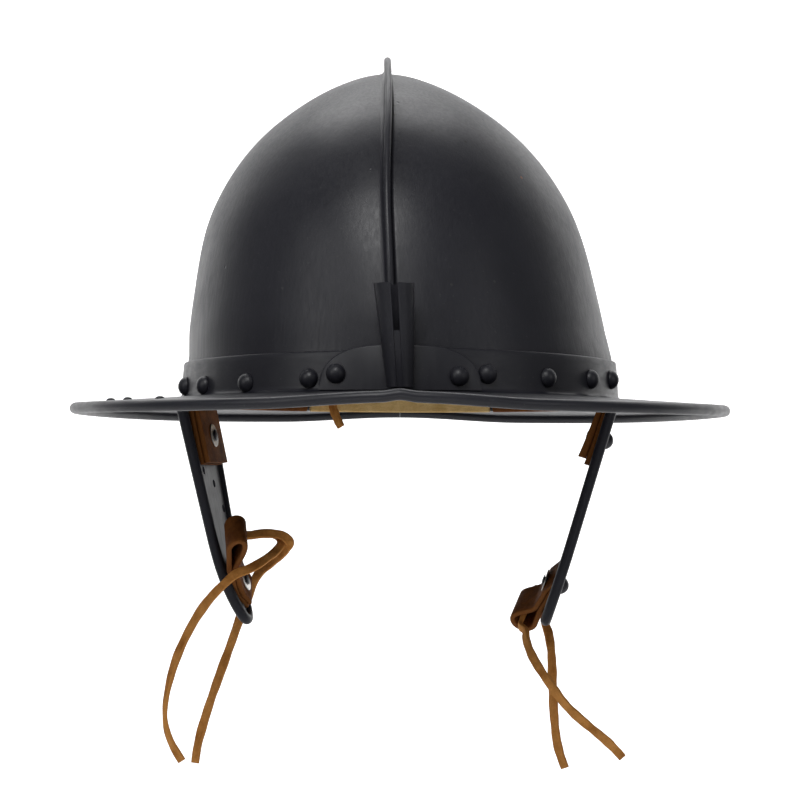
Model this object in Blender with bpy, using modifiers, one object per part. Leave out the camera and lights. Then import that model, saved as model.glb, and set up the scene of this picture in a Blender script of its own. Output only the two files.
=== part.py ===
"""Pikeman pot: two half skulls joined along a comb, a two-part brim with a turned-up flange, a plume
holder at the back, and two cheek pieces that hang on leather straps and are tied with thongs.

Metres, +Z up. The origin is the middle of the head opening, in the plane of the brim's rolled edge.
-Y is the back, where the plume holder stands, +Y is the front, -X is the wearer's left.
"""

import math

import bmesh
import bpy
import numpy as np
from mathutils import Matrix, Vector

LEFT, RIGHT = -1, 1
SIDE_NAMES = {LEFT: "left", RIGHT: "right"}

# Sheet, leather and the clearance between pieces that touch
SHEET = 0.0016
SEAT_GAP = 0.0003
LEATHER_GAP = 0.0006
LINER_LEATHER = 0.0020
STRAP_PLY = 0.0026
TAB_PLY = 0.0026
EDGE_ROLL_RADIUS = 0.0026

# Skull
SKULL_HALF_WIDTH = 0.1033
SKULL_HALF_LENGTH = 0.1210
SKULL_HEIGHT = 0.1623
SKULL_BASE = 0.0020
SKULL_LEAN = 0.0068
SKULL_ROWS = 11
SKULL_COLUMNS = 20
# How full each ring is against a plain ellipsoid, by its lift angle above the base
SKULL_FULLNESS = (
    # lift in degrees, share of the width, share of the length
    (0, 1.000, 1.000),
    (20, 1.000, 1.005),
    (38, 1.037, 1.030),
    (55, 1.008, 1.020),
    (63, 0.957, 0.990),
    (71, 0.895, 0.950),
    (78, 0.830, 0.910),
    (90, 0.780, 0.880),
)

# Comb, which belongs to the left half
COMB_PROUD = 0.0082
COMB_THICKNESS = 0.0034
COMB_FILLET = 0.0042
COMB_ROOT = 0.0012
COMB_END_SHARE = 0.35
COMB_FADE_DEG = 14
COMB_STATIONS = 32

# Brim
BRIM_HALF_WIDTH = 0.1585
BRIM_HALF_LENGTH = 0.1780
BRIM_ROOT_SIDE = 0.0052
BRIM_ROOT_END = 0.0062
BRIM_ROOT_FILLET = 0.0008
BRIM_STATIONS = 26
RIM_RAISE = 0.0023
RIM_RAISE_REACH_DEG = 24
RIM_DIP = 0.0010
FLANGE_TOP_SIDE = 0.0234
FLANGE_TOP_END = 0.0256

# Rivets
RIVET_HEAD_RADIUS = 0.00425
RIVET_HEAD_HEIGHT = 0.0038
RIVET_SHANK_RADIUS = 0.0017
RIVET_TAIL_RADIUS = 0.0029
RIVET_TAIL_HEIGHT = 0.0008
RIVET_TAIL_GAP = 0.0012
RIVET_HOLE_CLEARANCE = 0.0003
RIVET_STEPS = 8
BAND_RIVET_TURNS_DEG = (22.2, 39.6, 57.5, 72.5, 107.5, 122.5, 140.4, 157.8)
BAND_RIVET_LIFT = {LEFT: 0.0112, RIGHT: 0.0130}
HOLDER_RIVET_TURN_DEG = {LEFT: 15.6, RIGHT: 14.3}
HOLDER_RIVET_LIFT = 0.0138
BRIM_RIVET_HEAD_RADIUS = 0.0030
BRIM_RIVET_HEAD_HEIGHT = 0.0020
BRIM_RIVET_TURNS_DEG = (46.5, 60.5, 72.5)
BRIM_RIVET_INSET = 0.017

# Plume holder
HOLDER_TOP_RADIUS = 0.00905
HOLDER_FOOT_RADIUS = 0.00595
HOLDER_WALL = 0.0014
HOLDER_TOP = 0.0532
HOLDER_LEAN = 0.0029
HOLDER_SLOT_WIDTH = 0.0036
HOLDER_SLOT_FOOT = 0.0323
HOLDER_PLATE_HALF_WIDTH = 0.0365
HOLDER_PLATE_TOP = 0.0268
HOLDER_SIDES = 16

# Liner and the leather band that carries each hinge strap
LINER_TOP = 0.0340
LINER_BASE = 0.0014
LINER_HALF_TURN_DEG = 27.5
ANCHOR_TOP = 0.0220
ANCHOR_HALF_TURN_DEG = 61

# Cheek pieces
CHEEK_TOP = -0.0030
CHEEK_DROP = 0.0980
CHEEK_HALF_WIDTH = 0.0230
CHEEK_TAPER = 0.115
CHEEK_TIP_START = 0.71
CHEEK_HOLE_RADIUS = 0.0020
CHEEK_CURL_START = 0.6
CHEEK_ROWS = 10
CHEEK_COLUMNS = 5
# How each one hangs: distance from the middle at its top, yaw, tilt and the curl of its tip
CHEEK_HANG = {
    LEFT: {"out": 0.0973, "yaw": 12.0, "tilt": 11.0, "curl": 0.0050},
    RIGHT: {"out": 0.1001, "yaw": -3.6, "tilt": 16.7, "curl": 0.0010},
}
# Punched holes, as shares of the drop and of the half width there
CHEEK_HOLES = (
    # down, towards the front
    (0.27, -0.50),
    (0.335, 0.20),
    (0.46, 0.66),
)

# Hinge straps: two plies, the outer one longer
STRAP_WIDTH = 0.0340
STRAP_OUTER_END = -0.0270
STRAP_INNER_END = -0.0232
STRAP_ROOT = 0.0190
STRAP_COLUMNS = 5
HINGE_RIVET_DROP = 0.0108

# Tab loops near the tips of the cheek pieces, riveted on and folded round the thongs
TAB_WIDTH = 0.0180
TAB_SLANT_DEG = 45
TAB_TAIL = 0.0092
TAB_RIVET_DROP = 0.0807
# Reach of each loop from its rivet, how far it bulges, where its plies part and which way it points
TABS = {
    LEFT: {"reach": 0.0360, "bulge": 0.0110, "parting": 0.0140, "way": 1},
    RIGHT: {"reach": 0.0280, "bulge": 0.0142, "parting": 0.0075, "way": -1},
}
WASHER_RADIUS = 0.0056
WASHER_HEIGHT = 0.0009
WASHER_STEPS = 12

# Thongs: round tubes as thick as the flat thong's section, at points every few diameters
THONG_DIAMETER = 0.0034
THONG_SPACING = 0.0068
# Route points in millimetres: across, front, up
THONG_ROUTES = {
    "thong_left_long": (
        (-82.0, -25.5, -62.5), (-82.2, -21.1, -58.1), (-82.4, -16.6, -53.7), (-81.5, -12.7, -51.7),
        (-78.4, -7.4, -52.8), (-74.4, -2.9, -56.4), (-69.8, 1.5, -60.3), (-64.9, 0.0, -59.7),
        (-60.9, -1.5, -60.2), (-57.7, -3.5, -61.7), (-57.1, -7.0, -64.4), (-59.5, -12.0, -67.1),
        (-63.6, -17.5, -69.9), (-68.1, -22.0, -72.9), (-72.7, -25.0, -75.7), (-76.9, -26.0, -78.2),
        (-83.1, -25.0, -83.3), (-89.5, -21.0, -89.6), (-94.9, -18.0, -96.4), (-100.1, -17.0, -105.6),
        (-103.9, -16.5, -113.2), (-107.3, -16.0, -121.8), (-109.6, -15.5, -130.9), (-111.5, -15.0, -139.5),
        (-111.9, -15.0, -147.2), (-111.0, -14.5, -154.3), (-108.1, -14.0, -161.0), (-103.3, -14.0, -168.2),
    ),
    "thong_left_short": (
        (-81.3, -22.7, -65.2), (-81.4, -18.4, -60.9), (-81.6, -13.8, -56.4), (-79.8, -11.0, -56.0),
        (-75.5, -8.2, -58.4), (-70.5, -5.5, -61.7), (-66.0, -6.5, -60.6), (-60.1, -9.5, -60.1),
        (-55.5, -11.5, -60.7), (-52.7, -9.5, -63.3), (-54.3, -5.0, -67.0), (-58.1, 0.0, -70.8),
        (-62.6, 6.0, -74.4), (-67.0, 11.5, -77.7), (-69.8, 15.5, -81.5), (-71.9, 18.0, -86.2),
        (-73.8, 19.0, -91.6), (-76.2, 19.0, -97.0), (-78.6, 17.5, -103.8), (-80.9, 16.0, -111.5),
        (-84.2, 15.0, -120.2), (-87.5, 14.0, -129.9), (-90.8, 13.0, -139.1), (-93.6, 12.0, -148.2),
        (-96.1, 11.0, -156.9), (-98.2, 10.0, -165.0), (-98.6, 10.0, -171.3),
    ),
    "thong_right_long": (
        (62.1, 17.7, -95.4), (60.5, 13.6, -99.3), (58.8, 9.1, -103.6), (61.1, 2.0, -106.3),
        (61.3, -5.0, -111.9), (64.8, -10.0, -119.5), (69.9, -13.0, -127.4), (74.7, -14.0, -134.0),
        (79.4, -14.5, -140.6), (85.6, -15.0, -146.3), (92.4, -14.5, -152.0), (99.6, -14.0, -157.7),
        (104.4, -13.0, -162.5), (107.1, -12.0, -165.7),
    ),
    "thong_right_short": (
        (62.2, 18.0, -95.1), (63.6, 21.5, -91.8), (64.8, 24.6, -88.9), (68.3, 26.3, -86.6),
        (71.5, 27.0, -90.0), (72.1, 26.0, -94.2), (71.5, 24.0, -98.5), (71.5, 22.0, -103.3),
        (73.3, 18.5, -108.5), (74.1, 15.0, -114.1), (74.5, 13.0, -121.3), (74.7, 11.0, -130.4),
        (74.9, 10.0, -139.1), (75.9, 9.0, -153.0), (76.9, 9.0, -161.7), (78.8, 9.0, -168.0),
        (80.8, 9.0, -172.8),
    ),
}
# The liner's short thong, by its place on the liner
LINER_THONG_ROUTE = (
    # degrees from the front, millimetres in from the liner, height in millimetres
    (21.5, 2.2, 20.0),
    (21.6, 4.4, 19.0),
    (22.2, 6.6, 13.0),
    (22.3, 7.8, 4.0),
    (21.3, 9.5, -2.0),
    (20.1, 11.0, -6.6),
)

PAINT = ((0.020, 0.021, 0.025), 0.38, 0.6)
BRIGHT_STEEL = ((0.55, 0.54, 0.52), 0.3, 1.0)
STRAP_LEATHER = ((0.16, 0.075, 0.03), 0.7, 0.0)
THONG_LEATHER = ((0.42, 0.22, 0.10), 0.75, 0.0)
LINER_TAN = ((0.58, 0.40, 0.22), 0.8, 0.0)


def clear_scene():
    for obj in list(bpy.data.objects):
        bpy.data.objects.remove(obj, do_unlink=True)


def new_collection(name, hidden=False):
    collection = bpy.data.collections.new(name)
    bpy.context.scene.collection.children.link(collection)
    collection.hide_render = hidden
    return collection


def finish(obj, look):
    """Puts the object in the helmet's collection with a Principled material of its own."""
    colour, roughness, metallic = look
    material = bpy.data.materials.new(obj.name)
    material.use_nodes = True
    shader = material.node_tree.nodes["Principled BSDF"]
    shader.inputs["Base Color"].default_value = (*colour, 1)
    shader.inputs["Roughness"].default_value = roughness
    shader.inputs["Metallic"].default_value = metallic
    obj.data.materials.append(material)
    HELMET.objects.link(obj)
    return obj


def as_helper(obj):
    """A cutter or a join piece: kept out of the render and drawn as wire."""
    HELPERS.objects.link(obj)
    obj.hide_render = True
    obj.display_type = "WIRE"
    return obj


def mesh_object(name, points, faces):
    mesh = bpy.data.meshes.new(name)
    mesh.from_pydata([tuple(p) for p in points], [], faces)
    shape = bmesh.new()
    shape.from_mesh(mesh)
    bmesh.ops.remove_doubles(shape, verts=shape.verts, dist=1e-6)
    bmesh.ops.recalc_face_normals(shape, faces=shape.faces)
    shape.to_mesh(mesh)
    shape.free()
    mesh.shade_smooth()
    mesh.set_sharp_from_angle(angle=math.radians(40))
    return bpy.data.objects.new(name, mesh)


def loft(name, sections):
    """A closed body through closed sections with equal numbers of points, its two ends capped."""
    rows, columns = len(sections), len(sections[0])
    points = np.concatenate(sections)
    faces = [
        (r * columns + c, r * columns + (c + 1) % columns,
         (r + 1) * columns + (c + 1) % columns, (r + 1) * columns + c)
        for r in range(rows - 1)
        for c in range(columns)
    ]
    faces.append(tuple(range(columns)))
    faces.append(tuple(range((rows - 1) * columns, rows * columns)))
    return mesh_object(name, points, faces)


def open_sheet(name, rows_of_points):
    """An open surface through rows of points, for Solidify to thicken."""
    rows, columns = len(rows_of_points), len(rows_of_points[0])
    faces = [
        (r * columns + c, r * columns + c + 1, (r + 1) * columns + c + 1, (r + 1) * columns + c)
        for r in range(rows - 1)
        for c in range(columns - 1)
    ]
    return mesh_object(name, np.concatenate(rows_of_points), faces)


def solidify(obj, thickness, offset):
    wall = obj.modifiers.new("wall", "SOLIDIFY")
    wall.thickness = thickness
    wall.offset = offset
    wall.use_even_offset = True


def boolean(obj, other, operation):
    step = obj.modifiers.new(other.name, "BOOLEAN")
    step.operation = operation
    step.object = other


def tube(name, points, radius, resolution=2):
    """A curve tube with filled caps through the points."""
    curve = bpy.data.curves.new(name, "CURVE")
    curve.dimensions = "3D"
    curve.bevel_depth = radius
    curve.bevel_resolution = resolution
    curve.use_fill_caps = True
    spline = curve.splines.new("POLY")
    spline.points.add(len(points) - 1)
    for point, place in zip(spline.points, points):
        point.co = (*place, 1)
    return bpy.data.objects.new(name, curve)


def meshed(curve_object):
    """The curve object made a mesh with its caps welded, for Booleans."""
    bpy.context.scene.collection.objects.link(curve_object)
    graph = bpy.context.evaluated_depsgraph_get()
    graph.update()
    mesh = bpy.data.meshes.new_from_object(curve_object.evaluated_get(graph))
    shape = bmesh.new()
    shape.from_mesh(mesh)
    bmesh.ops.remove_doubles(shape, verts=shape.verts, dist=1e-6)
    bmesh.ops.recalc_face_normals(shape, faces=shape.faces)
    shape.to_mesh(mesh)
    shape.free()
    name = curve_object.name
    bpy.data.objects.remove(curve_object, do_unlink=True)
    return bpy.data.objects.new(name, mesh)


def cylinders(name, places, radius, length, sides=8):
    """One mesh of cylinders, each centred on its (point, direction)."""
    shape = bmesh.new()
    for point, direction in places:
        turn = Vector(direction).to_track_quat("Z", "Y").to_matrix().to_4x4()
        bmesh.ops.create_cone(
            shape, cap_ends=True, segments=sides, radius1=radius, radius2=radius, depth=length,
            matrix=Matrix.Translation(Vector(point)) @ turn,
        )
    mesh = bpy.data.meshes.new(name)
    shape.to_mesh(mesh)
    shape.free()
    return as_helper(bpy.data.objects.new(name, mesh))


def block(name, sizes, centre):
    """A rectangular cutter."""
    shape = bmesh.new()
    place = Matrix.Translation(centre) @ Matrix.Diagonal((*sizes, 1))
    bmesh.ops.create_cube(shape, size=1, matrix=place)
    mesh = bpy.data.meshes.new(name)
    shape.to_mesh(mesh)
    shape.free()
    return as_helper(bpy.data.objects.new(name, mesh))


def turned(name, profile, point, direction, steps, closed=False):
    """A turned piece: the profile, run down its outer side, screwed about its axis and set in place."""
    mesh = bpy.data.meshes.new(name)
    count = len(profile)
    edges = [(i, i + 1) for i in range(count - 1)]
    if closed:
        edges.append((count - 1, 0))
    mesh.from_pydata([(r, 0, z) for r, z in profile], edges, [])
    obj = bpy.data.objects.new(name, mesh)
    screw = obj.modifiers.new("turn", "SCREW")
    screw.steps = screw.render_steps = steps
    screw.use_merge_vertices = True
    screw.merge_threshold = 1e-5
    screw.use_smooth_shade = True
    obj.location = point
    obj.rotation_euler = Vector(direction).to_track_quat("Z", "Y").to_euler()
    return obj


def smooth_table(rows, column, place):
    """The table's column at a place, on a cubic whose slopes come from the neighbouring rows."""
    places = np.array([row[0] for row in rows], float)
    values = np.array([row[column] for row in rows], float)
    slopes = np.gradient(values, places)
    k = np.clip(np.searchsorted(places, place) - 1, 0, len(places) - 2)
    step = places[k + 1] - places[k]
    t = (place - places[k]) / step
    rising = (1 + 2 * t) * (1 - t) ** 2 * values[k] + t * (1 - t) ** 2 * step * slopes[k]
    return rising + t**2 * (3 - 2 * t) * values[k + 1] + t**2 * (t - 1) * step * slopes[k + 1]


def ring(lift, offset=0.0):
    """Half width, half length and height of the skull's ring at a lift angle, offset outwards."""
    width = SKULL_HALF_WIDTH * np.cos(lift) * smooth_table(SKULL_FULLNESS, 1, np.degrees(lift))
    length = SKULL_HALF_LENGTH * np.cos(lift) * smooth_table(SKULL_FULLNESS, 2, np.degrees(lift))
    return width + offset, length + offset, SKULL_HEIGHT * np.sin(lift)


def lean(height):
    """How far the skull leans to the wearer's left at a height: nothing below the flange's top."""
    start = FLANGE_TOP_END
    return -SKULL_LEAN * np.clip((height - start) / (SKULL_HEIGHT - start), 0, None)


def band_point(turn, side, height, offset):
    """A point beside the skull's wall: turn runs from 0 at the back to pi at the front."""
    lift = np.arcsin(np.clip(height / SKULL_HEIGHT, 0, 1))
    width, length, _ = ring(lift, offset)
    return np.array([side * width * math.sin(turn) + lean(height), -length * math.cos(turn), height])


def band_normal(turn, side, height):
    width, length, _ = ring(np.arcsin(np.clip(height / SKULL_HEIGHT, 0, 1)))
    normal = Vector((side * math.sin(turn) / width, -math.cos(turn) / length, 0))
    return normal.normalized()


def skull_sheet(name, side, seam):
    """Half the skull's outer surface, from its base to the crown, starting at the seam distance."""
    rows = []
    lifts = np.linspace(math.asin(SKULL_BASE / SKULL_HEIGHT), math.pi / 2, SKULL_ROWS + 1)
    for lift in lifts:
        width, length, height = ring(lift)
        width = max(width, seam)
        first = math.asin(seam / width)
        turns = np.linspace(first, math.pi - first, SKULL_COLUMNS + 1)
        rows.append(np.stack([
            side * width * np.sin(turns) + lean(height),
            -length * np.cos(turns),
            np.full(len(turns), height),
        ], axis=1))
    return open_sheet(name, rows)


def comb_body():
    """The comb: a fin with a round top over the crown, with a fillet down to the left half."""
    half = COMB_THICKNESS / 2
    start = math.asin((HOLDER_PLATE_TOP + SEAT_GAP) / SKULL_HEIGHT) + math.radians(0.5)
    sections = []
    for angle in np.linspace(start, math.pi - start, COMB_STATIONS):
        lift = min(angle, math.pi - angle)
        front = 1 if angle > math.pi / 2 else -1
        _, length, height = ring(lift)
        ahead = ring(min(lift + 0.01, math.pi / 2))
        behind = ring(lift - 0.01)
        rise, run = ahead[2] - behind[2], behind[1] - ahead[1]
        out = Vector((0, front * rise, run)).normalized()
        foot = Vector((lean(height), front * length, height))
        fade = min(1.0, math.degrees(lift - start) / COMB_FADE_DEG)
        share = COMB_END_SHARE + (1 - COMB_END_SHARE) * math.sin(lift)
        proud = max(COMB_ROOT, COMB_PROUD * share * math.sin(fade * math.pi / 2))
        fillet = min(COMB_FILLET, proud * 0.6)
        outline = [
            (half, -COMB_ROOT),
            (half, proud - half * 0.75),
            (half * 0.62, proud - half * 0.18),
            (0, proud),
            (-half * 0.62, proud - half * 0.18),
            (-half, proud - half * 0.75),
            (-half, fillet),
            (-half - fillet * 0.29, fillet * 0.29),
            (-half - fillet, -COMB_ROOT * 0.6),
            (-half - fillet, -COMB_ROOT),
        ]
        sections.append(np.array([foot + Vector((x, 0, 0)) + out * n for x, n in outline]))
    return as_helper(loft("comb_body", sections))


def rim_height(turn):
    """The rolled edge's height: raised where the halves meet, dipping between there and the sides."""
    from_end = math.degrees(min(turn, math.pi - turn))
    lobe = math.cos(math.radians(90 * min(from_end / RIM_RAISE_REACH_DEG, 1))) ** 2
    return RIM_RAISE * lobe - RIM_DIP * math.sin(2 * turn) ** 2


def by_end(turn, at_side, at_end):
    """A height that goes from one value at the sides to another at the back and front."""
    return at_side + (at_end - at_side) * math.cos(turn) ** 2


def brim_line(turn, side):
    """The flange's foot, the roll's centre and the way out between them, in plan."""
    root = by_end(turn, BRIM_ROOT_SIDE, BRIM_ROOT_END)
    foot = band_point(turn, side, root, SEAT_GAP + SHEET)
    roll = np.array([
        side * (BRIM_HALF_WIDTH - EDGE_ROLL_RADIUS) * math.sin(turn),
        -(BRIM_HALF_LENGTH - EDGE_ROLL_RADIUS) * math.cos(turn),
        rim_height(turn),
    ])
    out = roll - foot
    out[2] = 0
    return foot, roll, out / np.linalg.norm(out)


def brim_top_point(turn, side, inset):
    """A point on the brim's upper face, at a distance in from its outer edge, and the face's normal."""
    foot, roll, out = brim_line(turn, side)
    crest = roll + np.array([0, 0, EDGE_ROLL_RADIUS])
    slope = crest - foot
    share = 1 - (inset - EDGE_ROLL_RADIUS) / np.linalg.norm(slope[:2])
    normal = Vector((*(-out[:2] * slope[2]), np.linalg.norm(slope[:2]))).normalized()
    return foot + slope * share, normal


def brim_body(side):
    """Half the brim: flange round the skull, sloping plate and rolled edge, as one section carried round."""
    sections = []
    drop = np.array([0, 0, SHEET])
    for turn in np.linspace(0, math.pi, BRIM_STATIONS + 1):
        top = by_end(turn, FLANGE_TOP_SIDE, FLANGE_TOP_END)
        foot, roll, out = brim_line(turn, side)
        crest = roll + np.array([0, 0, EDGE_ROLL_RADIUS])
        middle = (foot + crest) / 2
        above = foot[2] + BRIM_ROOT_FILLET
        bite = math.sqrt(EDGE_ROLL_RADIUS**2 - (EDGE_ROLL_RADIUS - SHEET) ** 2)
        section = [
            band_point(turn, side, top, SEAT_GAP),
            band_point(turn, side, top, SEAT_GAP + SHEET),
            band_point(turn, side, above, SEAT_GAP + SHEET),
            foot + out * BRIM_ROOT_FILLET,
            middle,
        ]
        for angle in np.radians((90, 45, 0, -45, -90, -135, -180)):
            arm = out * math.cos(angle) + np.array([0, 0, math.sin(angle)])
            section.append(roll + arm * EDGE_ROLL_RADIUS)
        section += [
            crest - drop - out * bite,
            middle - drop,
            band_point(turn, side, foot[2] - SHEET, SEAT_GAP),
        ]
        section = np.array(section)
        section[:, 0] += side * SEAT_GAP / 2
        sections.append(section)
    return loft("brim_" + SIDE_NAMES[side], sections)


def rivet(name, face_point, normal, grip, head=(RIVET_HEAD_RADIUS, RIVET_HEAD_HEIGHT), look=PAINT):
    """A domed rivet: head on the outer face, shank through what it grips, tail on the far side."""
    radius, height = head
    tail = -(grip + RIVET_TAIL_GAP)
    profile = [
        (0, height),
        (radius * 0.72, height * 0.72),
        (radius, 0),
        (RIVET_SHANK_RADIUS, 0),
        (RIVET_SHANK_RADIUS, tail),
        (RIVET_TAIL_RADIUS, tail),
        (0, tail - RIVET_TAIL_HEIGHT),
    ]
    seat = Vector(face_point) + Vector(normal) * SEAT_GAP
    return finish(turned(name, profile, seat, normal, RIVET_STEPS), look)


def band_rivets():
    """Rivets through flange and skull, and through the leather where there is leather. Returns the holes."""
    holes = []
    walls = 2 * SHEET + SEAT_GAP
    liner_from = 180 - LINER_HALF_TURN_DEG
    for side in (LEFT, RIGHT):
        height = BAND_RIVET_LIFT[side]
        for number, degrees in enumerate(BAND_RIVET_TURNS_DEG, 1):
            turn = math.radians(degrees)
            face = band_point(turn, side, height, SEAT_GAP + SHEET)
            normal = band_normal(turn, side, height)
            leather = 0.0
            if degrees > liner_from:
                leather = LINER_LEATHER + LEATHER_GAP
            elif abs(degrees - 90) < ANCHOR_HALF_TURN_DEG:
                leather = STRAP_PLY + LEATHER_GAP
            name = f"band_rivet_{SIDE_NAMES[side]}_{number}"
            rivet(name, face, normal, walls + leather + SEAT_GAP)
            holes.append((face, normal))
        turn = math.radians(HOLDER_RIVET_TURN_DEG[side])
        face = band_point(turn, side, HOLDER_RIVET_LIFT, 2 * (SEAT_GAP + SHEET))
        normal = band_normal(turn, side, HOLDER_RIVET_LIFT)
        rivet("holder_rivet_" + SIDE_NAMES[side], face, normal, walls + SHEET + 2 * SEAT_GAP)
        holes.append((face, normal))
    return holes


def brim_rivets():
    """Three small rivets along the back left of the brim. Returns the holes."""
    holes = []
    for number, degrees in enumerate(BRIM_RIVET_TURNS_DEG, 1):
        face, normal = brim_top_point(math.radians(degrees), LEFT, BRIM_RIVET_INSET)
        head = (BRIM_RIVET_HEAD_RADIUS, BRIM_RIVET_HEAD_HEIGHT)
        rivet(f"brim_rivet_{number}", face, normal, SHEET + SEAT_GAP, head)
        holes.append((face, normal))
    return holes


def plume_holder(holes):
    """A tapered tube with a slot down its back, on a plate that covers the flange's rear joint."""
    foot = BRIM_ROOT_END + BRIM_ROOT_FILLET + 2 * SEAT_GAP
    near, far = 2 * SEAT_GAP + SHEET, 2 * (SEAT_GAP + SHEET)
    sections = []
    span = math.asin(HOLDER_PLATE_HALF_WIDTH / (SKULL_HALF_WIDTH + far))
    for share in np.linspace(-1, 1, 19):
        turn, side = abs(share) * span, RIGHT if share > 0 else LEFT
        round_off = (1 - min(abs(share), 0.985) ** 3.2) ** (1 / 2.2)
        top = foot + (HOLDER_PLATE_TOP - foot) * round_off
        sections.append(np.array([
            band_point(turn, side, foot, near),
            band_point(turn, side, top, near),
            band_point(turn, side, top, far),
            band_point(turn, side, foot, far),
        ]))
    plate = as_helper(loft("holder_plate", sections))

    wall_line = SKULL_HALF_LENGTH + near + 0.5 * SHEET

    def circles(inset, low, high):
        rows = []
        for height in (low, high):
            share = (height - foot) / (HOLDER_TOP - foot)
            radius = HOLDER_FOOT_RADIUS + (HOLDER_TOP_RADIUS - HOLDER_FOOT_RADIUS) * share
            centre = (-HOLDER_LEAN * share, -(wall_line + radius))
            angles = np.arange(HOLDER_SIDES) * 2 * math.pi / HOLDER_SIDES
            rows.append(np.stack([
                centre[0] + (radius - inset) * np.cos(angles),
                centre[1] + (radius - inset) * np.sin(angles),
                np.full(HOLDER_SIDES, height),
            ], axis=1))
        return rows

    margin = 0.004
    holder = loft("plume_holder", circles(0, foot, HOLDER_TOP))
    bore = as_helper(loft("holder_bore", circles(HOLDER_WALL, foot - margin, HOLDER_TOP + margin)))
    slot_height = HOLDER_TOP + margin - HOLDER_SLOT_FOOT
    slot_share = (HOLDER_SLOT_FOOT + slot_height / 2 - foot) / (HOLDER_TOP - foot)
    slot_centre = (
        -HOLDER_LEAN * slot_share,
        -(wall_line + HOLDER_FOOT_RADIUS + HOLDER_TOP_RADIUS + HOLDER_WALL),
        HOLDER_SLOT_FOOT + slot_height / 2,
    )
    slot = block("holder_slot", (HOLDER_SLOT_WIDTH, 2 * HOLDER_TOP_RADIUS, slot_height), slot_centre)
    boolean(holder, plate, "UNION")
    for cutter in (bore, slot, holes):
        boolean(holder, cutter, "DIFFERENCE")
    return finish(holder, PAINT)


def leather_band(name, centre_turn, half_turn, side, low, high, leather, stations):
    """A leather wall inside the skull, curved with it."""
    outer = -(SHEET + LEATHER_GAP)
    sections = []
    for turn in np.linspace(centre_turn - half_turn, centre_turn + half_turn, stations):
        sections.append(np.array([
            band_point(turn, side, low, outer),
            band_point(turn, side, high, outer),
            band_point(turn, side, high, outer - leather),
            band_point(turn, side, low, outer - leather),
        ]))
    return loft(name, sections)


def cheek_curl(share):
    return np.clip((share - CHEEK_CURL_START) / (1 - CHEEK_CURL_START), 0, None) ** 2


def cheek_frame(side, drop):
    """The cheek piece's middle at a drop below its top: point, way to the front, way out, way down."""
    hang = CHEEK_HANG[side]
    yaw = math.radians(hang["yaw"])

    def middle(at):
        inward = math.tan(math.radians(hang["tilt"])) * at + hang["curl"] * cheek_curl(at / CHEEK_DROP)
        return Vector((side * (hang["out"] - inward), 0, CHEEK_TOP - at))

    step = 0.0005
    down = (middle(drop + step) - middle(drop - step)).normalized()
    across = Vector((-side * math.sin(yaw), math.cos(yaw), 0))
    out = across.cross(down).normalized()
    if out.x * side < 0:
        out = -out
    return middle(drop), across, out, down


def cheek_half_width(drop):
    """Half the distance between the rolls: a straight taper, rounded off at the tip."""
    width = CHEEK_HALF_WIDTH - CHEEK_TAPER * drop
    past = np.clip((drop / CHEEK_DROP - CHEEK_TIP_START) / (1 - CHEEK_TIP_START), 0, 1)
    return width * math.sqrt(max(0.0, 1 - past**2.2))


def cheek_point(side, drop, across_distance, out_distance=0.0):
    point, across, out, _ = cheek_frame(side, drop)
    return point + across * across_distance + out * out_distance


def cheek_piece(side):
    """A tapering steel tongue with its edge rolled over a wire, punched and drilled for its rivets."""
    name = "cheek_" + SIDE_NAMES[side]
    tip_share = np.sin(np.linspace(0, math.pi / 2, 7))[1:]
    start = CHEEK_TIP_START
    drops = CHEEK_DROP * np.concatenate([
        np.linspace(0, start, CHEEK_ROWS - 3), start + (1 - start) * tip_share
    ])
    rows = [
        np.array([
            cheek_point(side, drop, max(cheek_half_width(drop), 1e-4) * share)
            for share in np.linspace(-1, 1, CHEEK_COLUMNS)
        ])
        for drop in drops
    ]
    plate = open_sheet(name, rows)
    solidify(plate, SHEET, 0)
    lip = -0.0006
    edge = [cheek_point(side, drop, -cheek_half_width(max(drop, 0))) for drop in [lip, *drops[1:]]]
    edge += [cheek_point(side, drop, cheek_half_width(max(drop, 0))) for drop in [*drops[-2:0:-1], lip]]
    roll = as_helper(meshed(tube(name + "_roll", edge, EDGE_ROLL_RADIUS, 1)))
    boolean(plate, roll, "UNION")
    punched = []
    for down, front in CHEEK_HOLES:
        drop = down * CHEEK_DROP
        _, _, out, _ = cheek_frame(side, drop)
        punched.append((cheek_point(side, drop, front * cheek_half_width(drop)), out))
    reach = 8 * SHEET
    boolean(plate, cylinders(name + "_punches", punched, CHEEK_HOLE_RADIUS, reach), "DIFFERENCE")
    return finish(plate, PAINT)


def strap_section(side, height, thickness):
    """The hinge strap at a height: curved with the skull above the brim, flat on the cheek piece below."""
    half = STRAP_WIDTH / 2
    shares = np.linspace(-1, 1, STRAP_COLUMNS)
    if height > 0:
        outer = -(SHEET + LEATHER_GAP + STRAP_PLY / 2)
        depth = 2 * STRAP_PLY - STRAP_PLY / 2
        turns = [math.pi / 2 + share * half / SKULL_HALF_LENGTH for share in shares]
        far = [band_point(turn, side, height, outer) for turn in turns]
        near = [band_point(turn, side, height, outer - depth) for turn in turns]
    else:
        drop = CHEEK_TOP - height
        seat = SHEET / 2 + SEAT_GAP
        far = [cheek_point(side, drop, share * half, -seat) for share in shares]
        near = [cheek_point(side, drop, share * half, -seat - thickness) for share in shares]
    return np.array([*far, *near[::-1]])


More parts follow.
